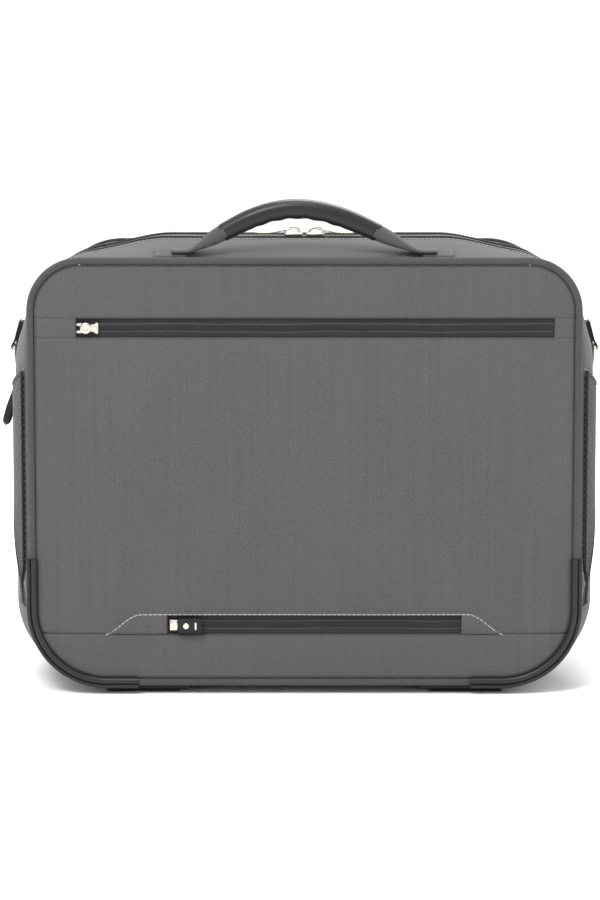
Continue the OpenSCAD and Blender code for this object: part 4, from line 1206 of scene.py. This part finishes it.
# %% [markdown]
# ## Fairings
# The padded walls stand out further than the wheel housings behind them. A moulded skin over each
# housing fills that step. It follows the wall formula, so it meets the fabric edge to edge.

# %% Fairings over the wheel housings
housing_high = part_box("right_wheel_housing")[1]
housing_out, fairing_edge = housing_high[0] / MM, housing_high[2] / MM + 1.2
for side_sign, name in ((-1, "left"), (1, "right")):
    arc = left_low[:15] if side_sign < 0 else right_low[::-1][:15]
    column = [side_at(side_sign, z) for z in np.linspace(fairing_edge, low_z, 5)[:-1]] + arc
    ys = np.linspace(housing_front - 0.4, rear_y - 1, 24)
    outer = np.array([[wall(p, y, -0.6) for y in ys] for p in column])
    outer[:, :, 0] = side_sign * np.maximum(np.abs(outer[:, :, 0]), housing_out + 0.4)
    inner = outer.copy()
    inner[:, :, 0] = side_sign * (housing_out - 0.8)
    fairing = Shape()
    shell(fairing, outer, inner, np.array([[(y, p[1]) for y in ys] for p in column]))
    fairing.make(name + "_housing_fairing", [plastic], "case", "black_plastic")
print("fairings reach out to", round(float(np.abs(outer[:, :, 0]).max()), 1), "mm")

# %% [markdown]
# ## Upper pocket slider
# The slider is one small casting. Two arms hug the coil at its mouth, a round boss stands in the
# middle, and a flat plate flares out behind. It is drawn as one outline with a notch, given rounded
# edges, and the boss is turned like a small dome with a dimple.

# %% Slider casting
def facing(shape, outline, x, y, z, thick, bevel):
    """A plate that lies flat against the front of the case."""
    plate(shape, outline, (x, y, z), (1, 0, 0), (0, 0, 1), thick, bevel)


def turned(shape, centre, profile, sides=28):
    """A solid of revolution from (radius, height) points, standing out towards the front."""
    centre, axis, across = (np.asarray(v, float) for v in (centre, forward, (1, 0, 0)))
    third = np.cross(axis, across)
    spokes = [across * math.cos(math.tau * k / sides) + third * math.sin(math.tau * k / sides)
              for k in range(sides)]
    points = [centre + axis * h + spoke * r for r, h in profile for spoke in spokes]
    last = (len(profile) - 1) * sides
    faces = [(i + k, i + (k + 1) % sides, i + sides + (k + 1) % sides, i + sides + k)
             for i in range(0, last, sides) for k in range(sides)]
    faces += [tuple(range(sides))[::-1], tuple(range(last, last + sides))]
    shape.add(points, faces)


casting = Shape()
fork_half = [(-8.0, 4.1), (-8.6, 3.6), (-8.8, 2.7), (-8.4, 1.8), (-7.6, 1.4), (-3.5, 0.9)]
flare_half = [(-5.0, -4.3), (-1.0, -3.6), (2.0, -3.0), (4.5, -3.3), (6.6, -4.6), (7.6, -4.9), (8.3, -4.3),
              (8.6, -2.0)]
fork = (fork_half + [(-3.0, 0.0)] + [(x, -z) for x, z in reversed(fork_half)] + flare_half
        + [(8.7, 0.0)] + [(x, -z) for x, z in reversed(flare_half)])
boss = [(4.4, 0), (4.5, 0.8), (4.2, 1.6), (3.5, 2.1), (2.6, 2.25), (2.1, 2.1), (1.9, 1.8), (0.6, 1.7),
        (0.05, 1.7)]
slider_low, slider_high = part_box("upper_zip_slider")
centre_x = (slider_low[0] + slider_high[0]) / 2 / MM
facing(casting, fork, centre_x, -95.6, upper_z, 2.4, 0.55)
turned(casting, (centre_x - 1.4, -97.6, upper_z), boss)
facing(casting, rounded(3.2, 1.5, 1.0, 4), centre_x + 4.4, -97.8, upper_z, 0.9, 0.35)
casting.make("upper_slider_casting", [nickel], "upper_slider", "satin_nickel", ["upper_zip_slider"],
             sharp=35)

# %% Lower puller
pull_low, pull_high = (np.array(v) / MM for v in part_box("lower_zip_pull"))
mid_x, mid_z = (pull_low[0] + pull_high[0]) / 2, (pull_low[2] + pull_high[2]) / 2
half_x, half_z = (pull_high[0] - pull_low[0]) / 2, (pull_high[2] - pull_low[2]) / 2
puller = Shape()
facing(puller, rounded(half_x - 1.0, half_z - 0.2, 2.2, 5, (1.0, 0)), mid_x, pull_high[1] - 1.3, mid_z,
       pull_high[1] - pull_low[1] - 0.4, 0.5)
facing(puller, rounded(half_x - 3.4, half_z - 1.9, 1.4, 4, (1.6, 0)), mid_x, pull_low[1] - 0.5, mid_z,
       0.6, 0.3)
puller.make("lower_puller_rubber", [pull_rubber], "lower_pull", "puller_rubber", ["lower_zip_pull"])
inlay = Shape()
facing(inlay, rounded(0.8, 3.0, 0.75, 4), mid_x + 5.6, pull_low[1] - 0.9, mid_z, 0.6, 0.2)
turned(inlay, (mid_x - 1.8, pull_low[1] - 0.9, mid_z),
       [(2.3, 0), (2.3, 0.3), (2.0, 0.6), (1.4, 0.62), (1.2, 0.4), (0.05, 0.4)])
inlay.make("lower_puller_rivet", [nickel], "lower_pull", "satin_nickel")
print("sliders made")

# %% [markdown]
# ## Main and side pullers
# The two main sliders meet head to head on top, each with a bent hoop and a flat arm that widens
# towards its end. The side slider has a soft teardrop instead, which hangs away from the wall. Both
# kinds are a round profile swept along a short path, with a width that changes on the way.

# %% Main sliders, head to head
slider_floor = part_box("main_slider_left")[0][2] / MM
pin_z = slider_floor + 5.6
for side_sign, name in ((-1, "left"), (1, "right")):
    body = Shape()
    origin = (side_sign * 8.6, split_y, slider_floor)
    plate(body, rounded(7.2, 4.6, 2.2, 5), origin, (side_sign, 0, 0), (0, side_sign, 0), 2.2, 0.6)
    hoop = [(side_sign * (9.5 - 5.6 * math.cos(math.radians(15 * k))), split_y,
             slider_floor + 1.6 + 4.6 * math.sin(math.radians(15 * k)) ** 0.7) for k in range(13)]
    cord(body, hoop, (0, 1, 0), 1.35, 10, 0.75)
    body.make(name + "_slider_casting", [nickel], name + "_slider", "satin_nickel",
              ["main_slider_" + name], sharp=35)
    arm = Shape()
    reach = [(side_sign * (10 + 28.5 * k / 12), split_y, pin_z - 0.9 - 2.6 * smooth(k / 8))
             for k in range(13)]
    across, up = frames(reach, (0, 0, 1))
    widths = [1.6 + 1.6 * smooth((k - 1) / 9) - 1.2 * smooth((k - 11) / 1.5) for k in range(13)]
    section = rounded(1.0, 1.0, 0.5, 3)
    swept(arm, reach, across, up, [[(w * x, 0.7 * z) for x, z in section] for w in widths])
    arm.make(name + "_pull_arm", [nickel], name + "_pull", "satin_nickel", ["main_pull_" + name])

# %% Side puller
side_low, side_high = (np.array(v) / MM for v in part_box("side_pull"))
pin = np.array([(side_low[0] + side_high[0]) / 2, (side_low[1] + side_high[1]) / 2, side_high[2] - 1.3])
drop = side_high[2] - side_low[2] - 2.5
teardrop = Shape()
path, widths = [], []
for k in range(25):
    t = k / 24
    path.append(pin + np.array([-10.5 * t ** 1.3, 0, 0.6 - (drop + 0.6) * t]))
    tip = math.sqrt(max(0.03, 1 - max(0.0, (t - 0.88) / 0.12) ** 2))
    widths.append((0.9 + 2.5 * smooth((t - 0.15) / 0.6)) * tip)
path = np.array(path)
tangent = np.gradient(path, axis=0)
tangent /= np.linalg.norm(tangent, axis=1)[:, None]
across = np.broadcast_to([0.0, 1.0, 0.0], path.shape)
sections = [[(1.7 * w / 2.2 * x, w * z) for x, z in rounded(1.7, 1.0, 0.6, 4)] for w in widths]
swept(teardrop, path, across, np.cross(across, tangent), sections)
teardrop.make("side_puller_teardrop", [pull_rubber], "side_zip_pull", "puller_rubber", ["side_pull"])

# %% [markdown]
# ## Grab handle
# A rubber grip is moulded over the middle of a webbing strap, with shallow finger scallops beneath.
# The strap's ends run down into flat sewn tabs on the top wall. Each strap end is a fixed piece
# that is attached to neither the grip nor the tabs.

# %% Grip
handle_y, handle_floor, grip_half = -80.0, 337.6, 60.0
arch_half, arch_high, arch_lean = 92, 33.5, 5.5
scallop_pitch, scallop_end = 14.5, 38


def arch(x):
    rise = max(0.0, math.cos(math.pi / 2 * min(1.0, abs(x) / arch_half)))
    return handle_floor + 2.6 + arch_high * rise ** 1.25


def arch_frames(xs, height=arch):
    """The grip has been pulled a little to one side, so the arch leans between its two tabs."""
    path = np.array([(x - arch_lean * (1 - min(1.0, abs(x) / arch_half) ** 2), handle_y, height(x))
                     for x in xs])
    tangent = np.gradient(path, axis=0)
    tangent /= np.linalg.norm(tangent, axis=1)[:, None]
    up = np.stack([-tangent[:, 2], np.zeros(len(xs)), tangent[:, 0]], axis=1)
    return path, np.broadcast_to([0.0, 1.0, 0.0], path.shape), up


xs = np.concatenate([[-grip_half, -grip_half + 0.35, -grip_half + 1.0],
                     np.linspace(-grip_half + 2, grip_half - 2, 170),
                     [grip_half - 1.0, grip_half - 0.35, grip_half]])
path, side, up = arch_frames(xs)
profiles = []
for x in xs:
    end = grip_half - abs(x)
    scale = 0.80 + 0.2 * math.sqrt(min(1.0, end / 1.4)) * (0.55 + 0.45 * smooth(end / 26))
    wave = 0.5 - 0.5 * math.cos(math.tau * (x + 2.5 * scallop_pitch) / scallop_pitch)
    scallop = 0.75 * wave * smooth((scallop_end - abs(x)) / 5)
    section = []
    for k in range(32):
        a = math.tau * k / 32
        c, s = math.cos(a), math.sin(a)
        b = 10.0 * math.copysign(abs(c) ** 0.75, c)
        h = 7.6 * math.copysign(abs(s) ** 0.8, s)
        if s < 0:
            h *= 1 + 0.09 * scallop * abs(s) * 1.4 - 0.06 * smooth((scallop_end - abs(x)) / 5)
        else:
            h *= 0.96 + 0.04 * abs(c)
        section.append((b * scale, h * scale))
    profiles.append(section)
grip = Shape()
swept(grip, path, side, up, profiles)
grip.make("grab_grip_rubber", [grip_rubber], "grab_handle", "grip_rubber", ["handle_grip"], sharp=60)

# %% Strap ends and tabs
def wall_height(x, y=handle_y):
    return wall(top_point(x), y)[2]


def strap_height(x):
    low = wall_height(x) + 2.6
    return max(low, arch(x)) if abs(x) < arch_half else low


def folded_strap(x):
    """The strap is folded round the grip's core and opens out flat towards the tab."""
    fold = 1 - smooth((abs(x) - grip_half) / 30)
    wide, thick, power = 11.0 - 1.6 * fold, 1.5 + 4.6 * fold, 0.5 + 0.3 * fold
    turns = [math.tau * (k + 0.5) / 28 for k in range(28)]
    return [(wide * math.copysign(abs(math.cos(a)) ** power, math.cos(a)),
             thick * math.copysign(abs(math.sin(a)) ** power, math.sin(a))) for a in turns]


tab_stitch_x, tab_stitch_y = 111.8, 8.8
for side_sign, name in ((-1, "left"), (1, "right")):
    xs = side_sign * np.linspace(57, 101, 36)
    path, across, up = arch_frames(xs, strap_height)
    path[:, 2] = np.convolve(np.pad(path[:, 2], 2, mode="edge"), np.ones(5) / 5, mode="valid")
    up = up * side_sign
    strap = Shape()
    swept(strap, path, across, up, [folded_strap(x) for x in xs])
    piece = strap.make(name + "_strap_webbing", [webbing], None, "webbing", ["handle_strap"])
    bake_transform(piece)
    tab = Shape()
    outer, inner, flat = [], [], []
    for k in range(21):
        x = side_sign * (90 + 25.0 * k / 20)
        line, under, row = [], [], []
        for j in range(15):
            y = handle_y - 11.2 + 22.4 * j / 14
            rim = min(j, 14 - j) * 1.6
            end = (20 - k) * 1.6
            top_z = wall_height(x, y)
            z = top_z + 0.5 + 1.7 * smooth(rim / 1.6 + 0.2) * smooth(end / 2.5 + 0.15)
            z = z - groove(rim - 2.0, 0.35, 0.8) - groove(end - 3.5, 0.35, 0.9)
            line.append((x, y, z))
            under.append((x, y, top_z - 0.4))
            row.append((x, y))
        outer.append(line)
        inner.append(under)
        flat.append(row)
    shell(tab, np.array(outer), np.array(inner), np.array(flat))
    tab.make(name + "_tab_webbing", [webbing], "front_half", "webbing", ["handle_tabs"])
    sewn = Shape()
    for y in (handle_y - tab_stitch_y, handle_y + tab_stitch_y):
        line = [(side_sign * x, y, wall_height(x, y) + 1.95) for x in np.linspace(92, 112, 16)]
        stitches(sewn, line, (0, 0, 1), 2.6, 1.8, 0.28)
    line = [(side_sign * tab_stitch_x, handle_y + dy, wall_height(tab_stitch_x, handle_y + dy) + 1.9)
            for dy in np.linspace(-tab_stitch_y, tab_stitch_y, 14)]
    stitches(sewn, line, (0, 0, 1), 2.6, 1.8, 0.28)
    sewn.make(name + "_tab_stitches", [grey_thread], "front_half", "webbing")
print("grab handle made")

# %% [markdown]
# ## Shoulder-strap rings
# A metal D-ring hangs in a folded loop of webbing on each side, a little behind the main zip. The
# ring is bent wire, and the loop is one strip that goes up the wall, round the wire and back.

# %% D-rings and loops
ring_x, ring_y, ring_z, ring_r, wire_r = 228.5, 10.0, 259.0, 13.0, 1.8
strip_section = [(9, 0.4), (8.6, 0.75), (-8.6, 0.75), (-9, 0.4), (-9, -0.4), (-8.6, -0.75), (8.6, -0.75),
                 (9, -0.4)]
lean = math.radians(15)
loop = Shape()
for side_sign, name in ((-1, "left"), (1, "right")):
    wire = [(side_sign * ring_x, ring_y + ring_r * (1 - 2 * k / 10) * 0.98, ring_z)
            for k in range(1, 10)]
    wire += [(side_sign * ring_x, ring_y - ring_r * math.cos(math.radians(7.5 * k)),
              ring_z - ring_r * math.sin(math.radians(7.5 * k))) for k in range(25)]
    wire = np.array(wire)
    closed = np.vstack([wire[-2:], wire, wire[:2]])
    tangent = np.gradient(closed, axis=0)[2:-2]
    tangent /= np.linalg.norm(tangent, axis=1)[:, None]
    out = np.broadcast_to([float(side_sign), 0.0, 0.0], wire.shape)
    d_ring = Shape()
    swept(d_ring, wire, out, np.cross(tangent, out), circle(wire_r, 12), closed=True)
    d_ring.make(name + "_ring_wire", [nickel], name + "_ring", "satin_nickel", [name + "_d_ring"])
    inward = np.array([-side_sign * math.sin(lean), 0, math.cos(lean)])
    off = np.array([side_sign * math.cos(lean), 0, math.sin(lean)])
    bar = np.array([side_sign * ring_x, ring_y, ring_z])
    centre_line = [bar + inward * s + off * 1.55 for s in (20.5, 16, 12, 8, 5)]
    for k in range(13):
        a = math.radians(20 - 20 * k)
        centre_line.append(bar + (off * math.cos(a) + inward * math.sin(a)) * 2.75)
    centre_line += [bar + inward * s - off * 0.35 for s in (4, 8, 12, 16, 20.5)]
    centre_line = resample(centre_line, 1.1)
    tangent = np.gradient(centre_line, axis=0)
    tangent /= np.linalg.norm(tangent, axis=1)[:, None]
    across = np.broadcast_to([0.0, 1.0, 0.0], centre_line.shape)
    swept(loop, centre_line, across, np.cross(tangent, across), strip_section)
loop.make("ring_loop_webbing", [black_webbing], "case", "black_webbing", ["ring_loops"])
print("rings made")

# %% [markdown]
# ## Stage
# A white floor and a white sky surround the case. One large soft light stands above and to the left
# of the front, and three weaker ones light it from the right, from behind and from overhead. The
# camera stands well back and a little above the case, so upright edges stay nearly parallel.

# %% Floor, lights and camera
floor_mesh = bpy.data.meshes.new("studio_floor")
floor_corners = [(6.0 * a, 6.0 * b, 0) for a, b in ((-1, -1), (1, -1), (1, 1), (-1, 1))]
floor_mesh.from_pydata(floor_corners, [], [(0, 1, 2, 3)])
floor = bpy.data.objects.new("studio_floor", floor_mesh)
bpy.context.collection.objects.link(floor)
paper = Finish("pale studio paper", Roughness=0.9, Specular_IOR_Level=0.1)
paper_tone = paper.noise(paper.solid(3.0), 3.0)
paper_colour = paper.ramp(paper_tone, 0.3, 0.7, tone(252, 252, 252), tone(254, 254, 254))
floor_mesh.materials.append(paper.close(paper_colour))

world = bpy.context.scene.world or bpy.data.worlds.new("studio")
bpy.context.scene.world = world
bpy.context.scene.view_settings.view_transform = "Standard"
world.use_nodes = True
sky = world.node_tree.nodes["Background"]
sky.inputs[0].default_value = (1.0, 1.0, 1.0, 1.0)
sky.inputs[1].default_value = 1.02
centre = Vector((0, 0, 0.19))
lamps = [("key", (-0.9, -2.0, 2.6), 1.3, 84),
         ("fill", (2.4, -1.6, 1.3), 1.6, 14),
         ("rear", (0.4, 2.2, 2.2), 1.6, 36),
         ("overhead", (0.0, -0.2, 2.8), 1.4, 26)]
for name, place, size, power in lamps:
    lamp = bpy.data.lights.new(name, "AREA")
    lamp.shape, lamp.size, lamp.energy = "DISK", size, power
    light = bpy.data.objects.new(name, lamp)
    light.location = place
    light.rotation_euler = (centre - light.location).to_track_quat("-Z", "Y").to_euler()
    bpy.context.collection.objects.link(light)

camera_data = bpy.data.cameras.new("camera")
camera_data.lens = 137.0
camera = bpy.data.objects.new("camera", camera_data)
camera.location = (0.0, -2.69, 0.55)
aim = Vector((-0.0035, 0.0, 0.177))
camera.rotation_euler = (aim - camera.location).to_track_quat("-Z", "Y").to_euler()
bpy.context.collection.objects.link(camera)
bpy.context.scene.camera = camera
